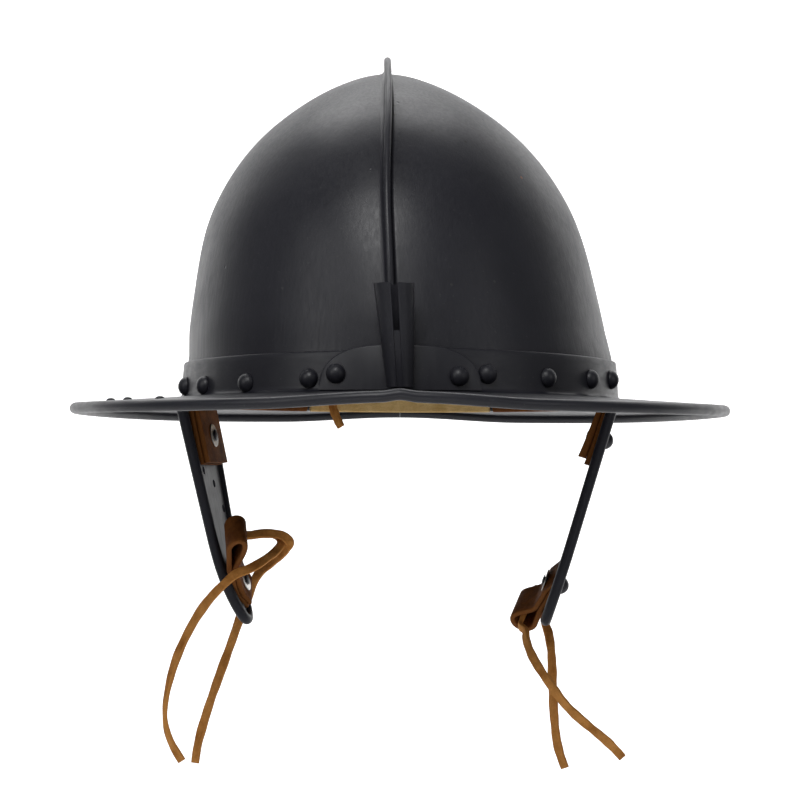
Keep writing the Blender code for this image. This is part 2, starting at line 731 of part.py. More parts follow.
def hinge_strap(side, band_holes, rivet_holes):
    """Strap and band cut from one leather: the band is riveted inside the skull, the strap hangs from it."""
    name = "hinge_strap_" + SIDE_NAMES[side]
    both = 2 * STRAP_PLY
    step = 0.0002
    stations = (
        (STRAP_ROOT, both), (SKULL_BASE + 0.004, both), (SKULL_BASE, both), (-0.0002, both),
        (CHEEK_TOP - HINGE_RIVET_DROP, both), (STRAP_INNER_END, both),
        (STRAP_INNER_END - step, STRAP_PLY), (STRAP_OUTER_END, STRAP_PLY),
    )
    strap = loft(name, [strap_section(side, height, thickness) for height, thickness in stations])
    band = leather_band(
        name + "_band", math.pi / 2, math.radians(ANCHOR_HALF_TURN_DEG), side,
        LINER_BASE, ANCHOR_TOP, STRAP_PLY, 15,
    )
    boolean(strap, as_helper(band), "UNION")
    boolean(strap, band_holes, "DIFFERENCE")
    boolean(strap, rivet_holes, "DIFFERENCE")
    return finish(strap, STRAP_LEATHER)


def tab_axes(side):
    """Where the tab's rivet meets its inner face, and the ways along its loop, off the plate and across."""
    slant = math.radians(TAB_SLANT_DEG)
    tab = TABS[side]
    middle = tab["way"] * tab["reach"] * math.cos(slant) / 2
    _, across, out, down = cheek_frame(side, TAB_RIVET_DROP - middle)
    along = (-down * math.cos(slant) - across * math.sin(slant)) * tab["way"]
    seat = cheek_frame(side, TAB_RIVET_DROP)[0] - out * (EDGE_ROLL_RADIUS + SEAT_GAP)
    return seat, along, -out, along.cross(-out)


def tab_outlines(side):
    """The folded strip from its edge: its outside and its bore, as (along, off the plate) points."""
    tab = TABS[side]
    reach, bulge, parting = tab["reach"], tab["bulge"], tab["parting"]
    arc = np.linspace(-math.pi / 2, math.pi / 2, 9)
    rise = np.linspace(0, 1, 5)[1:]

    def leaf(inset, join, join_height):
        half = bulge / 2 - inset
        end = [
            (reach - inset - half + half * math.cos(a), bulge / 2 + half * math.sin(a)) for a in arc
        ]
        top, height = end[-1]
        ease = (1 - np.cos(rise * math.pi)) / 2
        back = [
            (top + (join - top) * r, height + (join_height - height) * e)
            for r, e in zip(rise, ease)
        ]
        return end + back

    plies = 2 * TAB_PLY
    outside = [(-TAB_TAIL, 0)] + leaf(0, parting, plies) + [(-TAB_TAIL * 0.7, plies)]
    outside.append((-TAB_TAIL, TAB_PLY))
    bore = leaf(TAB_PLY, parting + TAB_PLY, TAB_PLY * 1.35) + [(parting + TAB_PLY, TAB_PLY)]
    return outside, bore


def tab_loop(side, rivet_holes):
    """The folded leather strip: its outline with the bore inside, carried across its width."""
    name = "tab_loop_" + SIDE_NAMES[side]
    seat, along, off, across = tab_axes(side)
    curve = bpy.data.curves.new(name, "CURVE")
    curve.dimensions = "2D"
    curve.fill_mode = "BOTH"
    curve.extrude = TAB_WIDTH / 2
    for outline in tab_outlines(side):
        spline = curve.splines.new("POLY")
        spline.points.add(len(outline) - 1)
        spline.use_cyclic_u = True
        for point, (x, y) in zip(spline.points, outline):
            point.co = (x, y, 0, 1)
    loop = meshed(bpy.data.objects.new(name, curve))
    place = Matrix((along, off, across)).transposed().to_4x4()
    place.translation = seat
    loop.data.transform(place)
    boolean(loop, rivet_holes, "DIFFERENCE")
    return finish(loop, STRAP_LEATHER)


def cheek_rivet(name, side, drop, seat, plies):
    """A cheek rivet with its washer on the leather. Returns its hole."""
    point, _, out, _ = cheek_frame(side, drop)
    face = point + out * SHEET / 2
    leather_face = SHEET / 2 + seat + plies
    washer_seat = leather_face + SEAT_GAP
    grip = SHEET / 2 + washer_seat + WASHER_HEIGHT + SEAT_GAP
    rivet(name, face, out, grip)
    inner = RIVET_SHANK_RADIUS + RIVET_HOLE_CLEARANCE
    profile = [(WASHER_RADIUS, 0), (WASHER_RADIUS, -WASHER_HEIGHT), (inner, -WASHER_HEIGHT), (inner, 0)]
    washer_point = point - out * washer_seat
    washer = turned(name + "_washer", profile, washer_point, out, WASHER_STEPS, closed=True)
    finish(washer, BRIGHT_STEEL)
    return point, out


def liner_thong_route():
    """The liner thong's points in metres, each set in from the liner's face at its turn and height."""
    points = []
    for from_front, inset, height in LINER_THONG_ROUTE:
        depth = SHEET + LEATHER_GAP + LINER_LEATHER + inset * 0.001
        points.append(band_point(math.pi - math.radians(from_front), LEFT, height * 0.001, -depth))
    return np.array(points)


def thong(name, route):
    """A thong along a smooth curve through its route points."""
    legs = np.linalg.norm(np.diff(route, axis=0), axis=1)
    places = np.concatenate([[0], np.cumsum(legs)])
    count = max(4, round(places[-1] / THONG_SPACING))
    fine = np.linspace(0, places[-1], count + 1)
    columns = [list(zip(places, route[:, axis])) for axis in range(3)]
    points = np.stack([smooth_table(rows, 1, fine) for rows in columns], axis=1)
    return finish(tube(name, points, THONG_DIAMETER / 2), THONG_LEATHER)


def build():
    hole_radius = RIVET_SHANK_RADIUS + RIVET_HOLE_CLEARANCE
    band_holes = cylinders("band_holes", band_rivets(), hole_radius, 0.026)
    brim_holes = cylinders("brim_holes", brim_rivets(), hole_radius, 0.012)

    left = skull_sheet("skull_left", LEFT, COMB_THICKNESS / 4)
    solidify(left, SHEET, -1)
    boolean(left, comb_body(), "UNION")
    right = skull_sheet("skull_right", RIGHT, COMB_THICKNESS / 2 + SEAT_GAP)
    solidify(right, SHEET, -1)
    for half in (left, right):
        boolean(half, band_holes, "DIFFERENCE")
        finish(half, PAINT)

    for side in (LEFT, RIGHT):
        brim = brim_body(side)
        boolean(brim, band_holes, "DIFFERENCE")
        if side == LEFT:
            boolean(brim, brim_holes, "DIFFERENCE")
        finish(brim, PAINT)
    plume_holder(band_holes)

    liner = leather_band(
        "liner_front", math.pi, math.radians(LINER_HALF_TURN_DEG), RIGHT,
        LINER_BASE, LINER_TOP, LINER_LEATHER, 9,
    )
    boolean(liner, band_holes, "DIFFERENCE")
    finish(liner, LINER_TAN)

    for side in (LEFT, RIGHT):
        cheek = cheek_piece(side)
        tab_seat = EDGE_ROLL_RADIUS + LEATHER_GAP - SHEET / 2
        places = [
            cheek_rivet("hinge_rivet_" + SIDE_NAMES[side], side, HINGE_RIVET_DROP, SEAT_GAP, 2 * STRAP_PLY),
            cheek_rivet("tab_rivet_" + SIDE_NAMES[side], side, TAB_RIVET_DROP, tab_seat, 2 * TAB_PLY),
        ]
        holes = cylinders("cheek_rivet_holes_" + SIDE_NAMES[side], places, hole_radius, 0.026)
        boolean(cheek, holes, "DIFFERENCE")
        hinge_strap(side, band_holes, holes)
        tab_loop(side, holes)
    for name, route in THONG_ROUTES.items():
        thong(name, np.array(route) * 0.001)
    thong("thong_liner", liner_thong_route())


clear_scene()
HELMET = new_collection("pikeman_pot")
HELPERS = new_collection("cutters_and_joins", hidden=True)
build()
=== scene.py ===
"""Pikeman pot in black painted steel: a combed skull in two halves, a rolled brim, a plume holder, and
two cheek pieces that hang on leather straps and are tied with leather thongs.

Metres, +Z up. The origin is the middle of the head opening, -Y is the back, where the plume holder
stands, and -X is the wearer's left.
"""

import math

import bmesh
import bpy
import numpy as np
from mathutils import Euler, Matrix, Vector


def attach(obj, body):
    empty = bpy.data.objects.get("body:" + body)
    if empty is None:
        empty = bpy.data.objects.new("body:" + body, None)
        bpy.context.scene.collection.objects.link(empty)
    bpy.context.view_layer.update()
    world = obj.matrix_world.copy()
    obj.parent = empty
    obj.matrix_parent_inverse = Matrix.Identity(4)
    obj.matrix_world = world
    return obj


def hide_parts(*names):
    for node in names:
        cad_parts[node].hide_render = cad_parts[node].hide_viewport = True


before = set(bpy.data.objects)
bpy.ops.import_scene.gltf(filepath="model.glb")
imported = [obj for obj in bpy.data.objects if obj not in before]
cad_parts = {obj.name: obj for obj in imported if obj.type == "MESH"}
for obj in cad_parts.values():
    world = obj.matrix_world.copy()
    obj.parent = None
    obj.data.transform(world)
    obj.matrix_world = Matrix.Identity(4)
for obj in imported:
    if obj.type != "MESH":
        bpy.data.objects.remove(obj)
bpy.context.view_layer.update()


# Camera: a long lens a metre and a half behind the helmet and just below its brim, so the brim is seen
# nearly edge on. It is tipped up a little and leans by a quarter of a degree.
lens = bpy.data.cameras.new("camera")
lens.lens = 139.725
lens.sensor_width = 36.0
camera = bpy.data.objects.new("camera", lens)
tipped = Euler((math.radians(91.384), 0, 0)).to_matrix().to_4x4()
camera.matrix_world = (
    Matrix.Translation((0, -1.5, -0.0312)) @ tipped @ Matrix.Rotation(math.radians(0.26), 4, "Z")
)
bpy.context.scene.collection.objects.link(camera)
bpy.context.scene.camera = camera
bpy.context.scene.view_settings.view_transform = "Standard"


# Studio: a white sheet that runs from the floor up behind the helmet in one sweep, in a pale room. Large
# soft lamps hang above the helmet, before and behind it, and stand at both sides and low in front.
def grid_quads(rows, columns, columns_meet=False):
    """Quads between the neighbours of a grid of points that are numbered row by row."""
    r = np.arange(rows - 1)[:, None]
    c = np.arange(columns if columns_meet else columns - 1)[None, :]
    beside = (c + 1) % columns
    corners = (r * columns + c, r * columns + beside, (r + 1) * columns + beside, (r + 1) * columns + c)
    return np.stack([np.broadcast_to(corner, (r.size, c.size)) for corner in corners], -1).reshape(-1, 4)


def new_piece(name, points, faces, finish, crease=40):
    """A mesh object with its doubled points merged, its faces turned outwards and one material."""
    mesh = bpy.data.meshes.new(name)
    mesh.from_pydata(np.asarray(points, float).reshape(-1, 3).tolist(), [], [list(f) for f in faces])
    shape = bmesh.new()
    shape.from_mesh(mesh)
    bmesh.ops.remove_doubles(shape, verts=shape.verts, dist=2e-6)
    bmesh.ops.dissolve_degenerate(shape, edges=shape.edges, dist=1e-7)
    bmesh.ops.recalc_face_normals(shape, faces=shape.faces)
    shape.to_mesh(mesh)
    shape.free()
    mesh.shade_smooth()
    mesh.set_sharp_from_angle(angle=math.radians(crease))
    mesh.materials.append(finish)
    piece = bpy.data.objects.new(name, mesh)
    bpy.context.scene.collection.objects.link(piece)
    return piece


def node(tree, kind, sockets=None, **settings):
    """A shader node with its settings, and with its named or numbered inputs given or linked."""
    made = tree.nodes.new("ShaderNode" + kind)
    for key, value in settings.items():
        setattr(made, key, value)
    for key, value in (sockets or {}).items():
        if isinstance(value, bpy.types.NodeSocket):
            tree.links.new(value, made.inputs[key])
        else:
            made.inputs[key].default_value = value
    return made


def new_finish(name, **shader_values):
    """A material whose Principled shader has these plain values. Returns it, its tree and the shader."""
    finish = bpy.data.materials.new(name)
    finish.use_nodes = True
    shader = finish.node_tree.nodes["Principled BSDF"]
    for key, value in shader_values.items():
        shader.inputs[key.replace("_", " ")].default_value = value
    return finish, finish.node_tree, shader


# The sheet glows more and more from GLOW_START to GLOW_FULL behind the helmet
GLOW_START, GLOW_FULL = 0.6, 1.7
FLOOR_HEIGHT = -0.62
SWEEP_START, SWEEP_RADIUS = 1.6, 0.9
paper, paper_tree, paper_shader = new_finish(
    "backdrop_paper", Base_Color=(0.85, 0.85, 0.85, 1), Roughness=0.9
)
paper_place = node(paper_tree, "SeparateXYZ", {0: node(paper_tree, "TexCoord").outputs["Object"]})
paper_glow = node(paper_tree, "MapRange", {
    "Value": paper_place.outputs[1], 1: GLOW_START, 2: GLOW_FULL, 3: 0.0, 4: 1.0
})
paper_shader.inputs["Emission Color"].default_value = (1, 1, 1, 1)
paper_tree.links.new(paper_glow.outputs[0], paper_shader.inputs["Emission Strength"])
bend = np.linspace(0, math.pi / 2, 24)
sweep_y = np.concatenate([[-3.0], SWEEP_START + SWEEP_RADIUS * np.sin(bend), [SWEEP_START + SWEEP_RADIUS]])
sweep_z = np.concatenate([[FLOOR_HEIGHT], FLOOR_HEIGHT + SWEEP_RADIUS * (1 - np.cos(bend)), [3.6]])
sweep = np.array([[(x, y, z) for x in (-3.4, 3.4)] for y, z in zip(sweep_y, sweep_z)])
backdrop = new_piece("backdrop", sweep, grid_quads(len(sweep), 2), paper)


def soft_lamp(name, place, aim, wide, high, power):
    """A rectangular lamp at a place, turned to its aim."""
    lamp = bpy.data.lights.new(name, "AREA")
    lamp.shape = "RECTANGLE"
    lamp.size = wide
    lamp.size_y = high
    lamp.energy = power
    holder = bpy.data.objects.new(name, lamp)
    holder.location = place
    holder.rotation_euler = (Vector(aim) - Vector(place)).to_track_quat("-Z", "Y").to_euler()
    bpy.context.scene.collection.objects.link(holder)


soft_lamp("lamp_key", (-0.19, -1.10, 1.07), (0, -0.06, 0.07), 0.60, 0.64, 8.0)
soft_lamp("lamp_top", (-0.10, 0.82, 1.66), (0, 0, 0.12), 1.5, 0.7, 11.0)
soft_lamp("lamp_low", (0.10, -1.25, -0.60), (0, 0.05, 0.0), 1.3, 0.6, 2.0)
soft_lamp("lamp_left", (-1.5, -1.3, 0.7), (0, 0, 0.0), 0.9, 1.2, 5.5)
soft_lamp("lamp_right", (1.6, -1.2, 0.5), (0, 0, 0.0), 0.7, 1.1, 2.5)
room = bpy.data.worlds.new("room")
room.use_nodes = True
room.node_tree.nodes["Background"].inputs["Color"].default_value = (1, 1, 1, 1)
room.node_tree.nodes["Background"].inputs["Strength"].default_value = 0.12
bpy.context.scene.world = room


# Thongs: soft tan leather cut in narrow strips, with a smooth face and furry cut sides. One hangs doubled
# through the loop on each cheek piece, and a short end comes through the liner.
THONG_WIDTH = 0.0042
THONG_THICKNESS = 0.0022
THONG_CORNER = 0.0006
THONG_STEP = 0.0010
THONG_ROUTES = {
    "thong_left_long": (
        (-0.0784, -0.0199, -0.0592), (-0.0791, -0.0157, -0.0554),
        (-0.0780, -0.0119, -0.0552), (-0.0752, -0.0065, -0.0598), (-0.0719, -0.0035, -0.0605),
        (-0.0687, -0.0015, -0.0600), (-0.0648, -0.0010, -0.0596), (-0.0609, -0.0020, -0.0598),
        (-0.0577, -0.0040, -0.0613), (-0.0566, -0.0075, -0.0639), (-0.0588, -0.0120, -0.0676),
        (-0.0629, -0.0175, -0.0710), (-0.0675, -0.0220, -0.0741), (-0.0723, -0.0250, -0.0765),
        (-0.0769, -0.0260, -0.0782), (-0.0831, -0.0250, -0.0833), (-0.0895, -0.0210, -0.0896),
        (-0.0949, -0.0180, -0.0964), (-0.1001, -0.0170, -0.1056), (-0.1039, -0.0165, -0.1132),
        (-0.1073, -0.0160, -0.1218), (-0.1096, -0.0155, -0.1309), (-0.1115, -0.0150, -0.1395),
        (-0.1119, -0.0150, -0.1472), (-0.1110, -0.0145, -0.1543), (-0.1081, -0.0140, -0.1610),
        (-0.1033, -0.0140, -0.1682),
    ),
    "thong_left_short": (
        (-0.0777, -0.0170, -0.0621), (-0.0782, -0.0133, -0.0586),
        (-0.0769, -0.0102, -0.0579), (-0.0750, -0.0100, -0.0602), (-0.0717, -0.0090, -0.0604),
        (-0.0659, -0.0085, -0.0598), (-0.0601, -0.0095, -0.0597), (-0.0555, -0.0115, -0.0607),
        (-0.0528, -0.0095, -0.0633), (-0.0545, -0.0050, -0.0670), (-0.0583, 0.0000, -0.0710),
        (-0.0629, 0.0060, -0.0746), (-0.0670, 0.0115, -0.0779), (-0.0698, 0.0155, -0.0815),
        (-0.0719, 0.0180, -0.0862), (-0.0738, 0.0190, -0.0916), (-0.0762, 0.0190, -0.0970),
        (-0.0786, 0.0175, -0.1038), (-0.0809, 0.0160, -0.1115), (-0.0842, 0.0150, -0.1202),
        (-0.0875, 0.0140, -0.1299), (-0.0908, 0.0130, -0.1391), (-0.0936, 0.0120, -0.1482),
        (-0.0961, 0.0110, -0.1569), (-0.0982, 0.0100, -0.1650), (-0.0986, 0.0100, -0.1713),
    ),
    "thong_right_long": (
        (0.0621, 0.0177, -0.0954), (0.0605, 0.0136, -0.0993), (0.0588, 0.0091, -0.1036),
        (0.0611, 0.0020, -0.1063), (0.0613, -0.0050, -0.1119), (0.0648, -0.0100, -0.1195),
        (0.0699, -0.0130, -0.1274), (0.0747, -0.0140, -0.1340), (0.0794, -0.0145, -0.1406),
        (0.0856, -0.0150, -0.1463), (0.0924, -0.0145, -0.1520), (0.0996, -0.0140, -0.1577),
        (0.1044, -0.0130, -0.1625), (0.1071, -0.0120, -0.1657),
    ),
    "thong_right_short": (
        (0.0622, 0.0180, -0.0951), (0.0636, 0.0215, -0.0918), (0.0648, 0.0246, -0.0889),
        (0.0683, 0.0263, -0.0866), (0.0715, 0.0270, -0.0900), (0.0721, 0.0260, -0.0942),
        (0.0715, 0.0240, -0.0985), (0.0715, 0.0220, -0.1033), (0.0733, 0.0185, -0.1085),
        (0.0741, 0.0150, -0.1141), (0.0745, 0.0130, -0.1213), (0.0747, 0.0110, -0.1304),
        (0.0749, 0.0100, -0.1391), (0.0759, 0.0090, -0.1530), (0.0769, 0.0090, -0.1617),
        (0.0788, 0.0090, -0.1680), (0.0808, 0.0090, -0.1728),
    ),
    "thong_liner": (
        (-0.0352, 0.1059, 0.0200), (-0.0346, 0.1038, 0.0190), (-0.0348, 0.1018, 0.0130),
        (-0.0346, 0.1008, 0.0040), (-0.0326, 0.1000, -0.0020), (-0.0303, 0.0994, -0.0066),
    ),
}
# The way each one's smooth face looks at shares of its length, as it twists
THONG_FACES = {
    "thong_left_long": (
        # share, towards +X, +Y and +Z
        (0.00, -0.6, -0.5, 0.6), (0.18, 0.0, -1.0, 0.3), (0.50, -0.2, -1.0, 0.1), (0.66, -0.5, -0.9, 0.2),
        (0.78, -0.9, -0.5, 0.1), (0.87, -1.0, -0.1, 0.0), (0.93, -0.9, -0.5, 0.1), (1.00, -0.6, -0.9, 0.2),
    ),
    "thong_left_short": (
        (0.00, -0.6, -0.5, 0.6), (0.18, 0.0, -1.0, 0.3), (0.45, -0.1, -1.0, 0.1), (1.00, -0.5, -0.8, 0.1),
    ),
    "thong_right_long": (
        (0.00, -0.8, -0.3, -0.4), (0.30, -0.5, -0.8, -0.1), (0.60, -0.5, -0.9, -0.1), (1.00, -0.3, -0.9, 0.3),
    ),
    "thong_right_short": (
        (0.00, 0.3, -0.3, 0.8), (0.35, 0.3, -0.9, 0.3), (0.60, -0.5, -0.8, 0.1), (1.00, -0.5, -0.8, 0.1),
    ),
    "thong_liner": (
        (0.00, -0.4, -0.9, 0.2), (0.50, -0.4, -0.9, 0.2), (1.00, -0.6, -0.8, 0.1),
    ),
}
# The share of each one's length past which it hangs freely, and how many steps it is smoothed over
CALM_EASE = 0.12
THONG_CALM = {
    "thong_left_long": (0.44, 31),
    "thong_left_short": (0.46, 31),
    "thong_right_long": (0.18, 25),
    "thong_right_short": (0.30, 25),
    "thong_liner": (0.0, 5),
}


def on_cubic(places, values, at):
    """The cubic through the values at these places, whose slopes come from the rows beside each."""
    slopes = np.gradient(values, places, axis=0)
    k = np.clip(np.searchsorted(places, at) - 1, 0, len(places) - 2)
    gap = places[k + 1] - places[k]
    t = (at - places[k]) / gap
    if values.ndim > 1:
        gap, t = gap[:, None], t[:, None]
    rising = (1 + 2 * t) * (1 - t) ** 2 * values[k] + t * (1 - t) ** 2 * gap * slopes[k]
    return rising + t**2 * (3 - 2 * t) * values[k + 1] + t**2 * (t - 1) * gap * slopes[k + 1]


def smooth_run(route, step):
    """Points a step apart on the cubic through the route."""
    route = np.array(route, float)
    places = np.concatenate([[0], np.cumsum(np.linalg.norm(np.diff(route, axis=0), axis=1))])
    return on_cubic(places, route, np.linspace(0, places[-1], int(places[-1] / step) + 1))


def calmed(run, share_from, reach):
    """The run averaged over a window of reach points, eased in past a share of it, so it hangs smoothly."""
    window = np.hanning(reach + 2)[1:-1]
    half = reach // 2
    before = 2 * run[0] - run[half:0:-1]
    after = 2 * run[-1] - run[-2:-half - 2:-1]
    padded = np.concatenate([before, run, after])
    calm = np.stack([np.convolve(padded[:, axis], window / window.sum(), "valid") for axis in range(3)], 1)
    share = np.linspace(0, 1, len(run))
    t = np.clip((share - share_from) / CALM_EASE, 0, 1)[:, None]
    ease = t * t * (3 - 2 * t)
    return run * (1 - ease) + calm * ease


def unit(vectors):
    return vectors / np.linalg.norm(vectors, axis=-1, keepdims=True)


def strip_outline(width, thickness, corner, steps=4):
    """A rectangle with round corners, as (across, through) points, and how near each is to a cut side."""
    quarter = np.linspace(0, math.pi / 2, steps + 1)
    half_w, half_t = width / 2 - corner, thickness / 2 - corner
    outline = []
    for turn, (sx, sy) in enumerate(((1, 1), (-1, 1), (-1, -1), (1, -1))):
        angles = quarter + turn * math.pi / 2
        outline.append(np.stack([
            sx * half_w + corner * np.cos(angles), sy * half_t + corner * np.sin(angles)
        ], 1))
    outline = np.concatenate(outline)
    side = np.clip((np.abs(outline[:, 0]) - half_w) / corner, 0, 1)
    return outline, side


def carried_strip(path, facing, outline):
    """The outline set across every point of the path, its thickness along the facing direction."""
    along = unit(np.gradient(path, axis=0))
    face = unit(facing - (facing * along).sum(-1, keepdims=True) * along)
    across = np.cross(along, face)
    return (
        path[:, None] + outline[None, :, :1] * across[:, None] + outline[None, :, 1:] * face[:, None]
    )


def ring_quads(rows, columns):
    """Quads between rings of points, each ring closed on itself."""
    return grid_quads(rows, columns, columns_meet=True).tolist()


def capped_faces(rows, columns):
    """Quads round a carried outline, and one face over each end."""
    ends = [list(range(columns)), list(range((rows - 1) * columns, rows * columns))]
    return ring_quads(rows, columns) + ends


def mark_cut_sides(piece, shares):
    """Stores for every point how near it is to a cut side, from 0 to 1."""
    mesh = piece.data
    values = np.asarray(shares, np.float32)[:len(mesh.vertices)]
    mesh.attributes.new("cut_side", "FLOAT", "POINT").data.foreach_set("value", values)


def leather(name, dark, light, side_colour, grain, roughness):
    """Grained leather: two browns mixed by a slow noise, pores as bumps, cut sides of another colour."""
    finish, tree, shader = new_finish(name, Roughness=roughness, Specular_IOR_Level=0.12)
    where = node(tree, "TexCoord").outputs["Object"]
    slow = node(tree, "TexNoise", {"Vector": where, "Scale": 90.0, "Detail": 6.0, "Roughness": 0.65})
    blotches = node(tree, "ValToRGB", {"Fac": slow.outputs["Fac"]})
    blotches.color_ramp.elements[0].position = 0.34
    blotches.color_ramp.elements[0].color = (*dark, 1)
    blotches.color_ramp.elements[1].position = 0.68
    blotches.color_ramp.elements[1].color = (*light, 1)
    cut = node(tree, "Attribute", attribute_name="cut_side")
    fibre = node(tree, "TexNoise", {"Vector": where, "Scale": 1900.0, "Detail": 3.0, "Roughness": 0.7})
    edge = node(tree, "Mix", {
        0: cut.outputs["Fac"], 6: blotches.outputs["Color"], 7: (*side_colour, 1)
    }, data_type="RGBA")
    flecks = node(tree, "MapRange", {"Value": fibre.outputs["Fac"], 3: 0.78, 4: 1.18})
    toned = node(tree, "HueSaturation", {"Value": flecks.outputs[0], "Color": edge.outputs[2]})
    tree.links.new(toned.outputs["Color"], shader.inputs["Base Color"])
    pores = node(tree, "TexVoronoi", {"Vector": where, "Scale": grain}, feature="SMOOTH_F1")
    rise = node(tree, "Math", {0: pores.outputs["Distance"], 1: fibre.outputs["Fac"]}, operation="ADD")
    bumps = node(tree, "Bump", {"Height": rise.outputs[0], "Strength": 0.5, "Distance": 0.0003})
    tree.links.new(bumps.outputs["Normal"], shader.inputs["Normal"])
    return finish


thong_leather = leather(
    "thong_leather", (0.34, 0.130, 0.026), (0.68, 0.315, 0.088), (0.57, 0.250, 0.064), 1100.0, 0.85
)
outline, cut_side = strip_outline(THONG_WIDTH, THONG_THICKNESS, THONG_CORNER)
for thong_name, thong_route in THONG_ROUTES.items():
    run = calmed(smooth_run(thong_route, THONG_STEP), *THONG_CALM[thong_name])
    share = np.linspace(0, 1, len(run))
    looks = np.array(THONG_FACES[thong_name])
    facing = np.stack([np.interp(share, looks[:, 0], looks[:, axis]) for axis in (1, 2, 3)], 1)
    wander = 1 + 0.05 * np.sin(share * 37) + 0.03 * np.sin(share * 91 + 1)
    body = carried_strip(run, facing, outline)
    body = run[:, None] + (body - run[:, None]) * wander[:, None, None]
    thong = new_piece(thong_name + "_fine", body, capped_faces(*body.shape[:2]), thong_leather, 60)
    mark_cut_sides(thong, np.tile(cut_side, len(run)))
    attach(thong, "root")
    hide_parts(thong_name)


# Skull: two halves beaten from steel sheet 1.6 mm thick, welded together along the crest and painted
# satin black by brush, so fine hairlines and a few pits show in the highlights.
SHEET = 0.0016
SEAT_GAP = 0.0003
SKULL_HALF_WIDTH = 0.1033
SKULL_HALF_LENGTH = 0.1210
SKULL_HEIGHT = 0.1623
SKULL_BASE = 0.0020
SKULL_LEAN = 0.0068
SKULL_SWAY = 0.0009
SWAY_RISE, SWAY_END, SWAY_FADE = 0.012, 0.145, 0.060
SKULL_FULLNESS = np.array((
    # lift in degrees, share of the width, share of the length
    (0, 1.000, 1.000),
    (20, 1.000, 1.005),
    (38, 1.037, 1.030),
    (55, 1.008, 1.020),
    (63, 0.957, 0.990),
    (71, 0.895, 0.950),
    (78, 0.830, 0.910),
    (90, 0.780, 0.880),
))
FLANGE_TOP_SIDE = 0.0234
FLANGE_TOP_END = 0.0256
COMB_HALF = 0.0017
# Below DRIFT_TOP the comb and its seam wander to the left, and DRIFT_REACH lower they have gone all the way
COMB_DRIFT = 0.0022
DRIFT_TOP, DRIFT_REACH = 0.150, 0.060
# The hairline gap left between two sheets that meet edge to edge
WELD_GAP = 0.00004
# Marks on the skull's paint: a rust speck, then five near-black spots that are painted shade where pits and
# paint lumps stand, then two pale specks.
PAINT_MARKS = (
    # place, radius, colour
    ((0.0559, -0.0617, 0.1071), 0.0010, (0.16, 0.05, 0.015)),
    ((-0.0032, -0.0505, 0.1468), 0.0013, (0.004, 0.004, 0.005)),
    ((-0.0032, -0.0607, 0.1405), 0.0012, (0.004, 0.004, 0.005)),
    ((-0.0031, -0.0676, 0.1355), 0.0012, (0.004, 0.004, 0.005)),
    ((0.0144, -0.0733, 0.1275), 0.0012, (0.005, 0.005, 0.006)),
    ((0.0297, -0.0705, 0.1228), 0.0010, (0.005, 0.005, 0.006)),
    ((0.0424, -0.1012, 0.0563), 0.0008, (0.036, 0.036, 0.038)),
    ((0.0228, -0.1107, 0.0542), 0.0008, (0.036, 0.036, 0.038)),
)
LEFT, RIGHT = -1, 1
SIDE_NAMES = {LEFT: "left", RIGHT: "right"}


def fullness(column, degrees):
    """The table's column on a cubic between its rows."""
    return on_cubic(SKULL_FULLNESS[:, 0], SKULL_FULLNESS[:, column], degrees)


def skull_ring(lift, offset=0.0):
    """Half width, half length and height of the ring at a lift angle: an ellipsoid's, times its fullness."""
    width = SKULL_HALF_WIDTH * np.cos(lift) * fullness(1, np.degrees(lift)) + offset
    length = SKULL_HALF_LENGTH * np.cos(lift) * fullness(2, np.degrees(lift)) + offset
    return width, length, SKULL_HEIGHT * np.sin(lift)


def skull_lean(height):
    """The crown leans to the wearer's left, and the wall over the flange stands a little that way too."""
    above = np.clip(height - FLANGE_TOP_END, 0, None)
    fading = np.clip((SWAY_END - height) / SWAY_FADE, 0, 1)
    swing = SKULL_SWAY * np.clip(above / SWAY_RISE, 0, 1) * fading
    return -SKULL_LEAN * above / (SKULL_HEIGHT - FLANGE_TOP_END) - swing


def wall_point(turn, side, height, offset):
    """Points an offset outside the skull's wall, where turn runs from 0 at the back to pi at the front."""
    turn, height, offset = np.broadcast_arrays(turn, height, offset)
    lift = np.arcsin(np.clip(height / SKULL_HEIGHT, 0, 1))
    width, length, _ = skull_ring(lift, offset)
    return np.stack([
        side * width * np.sin(turn) + skull_lean(height), -length * np.cos(turn), height
    ], -1)


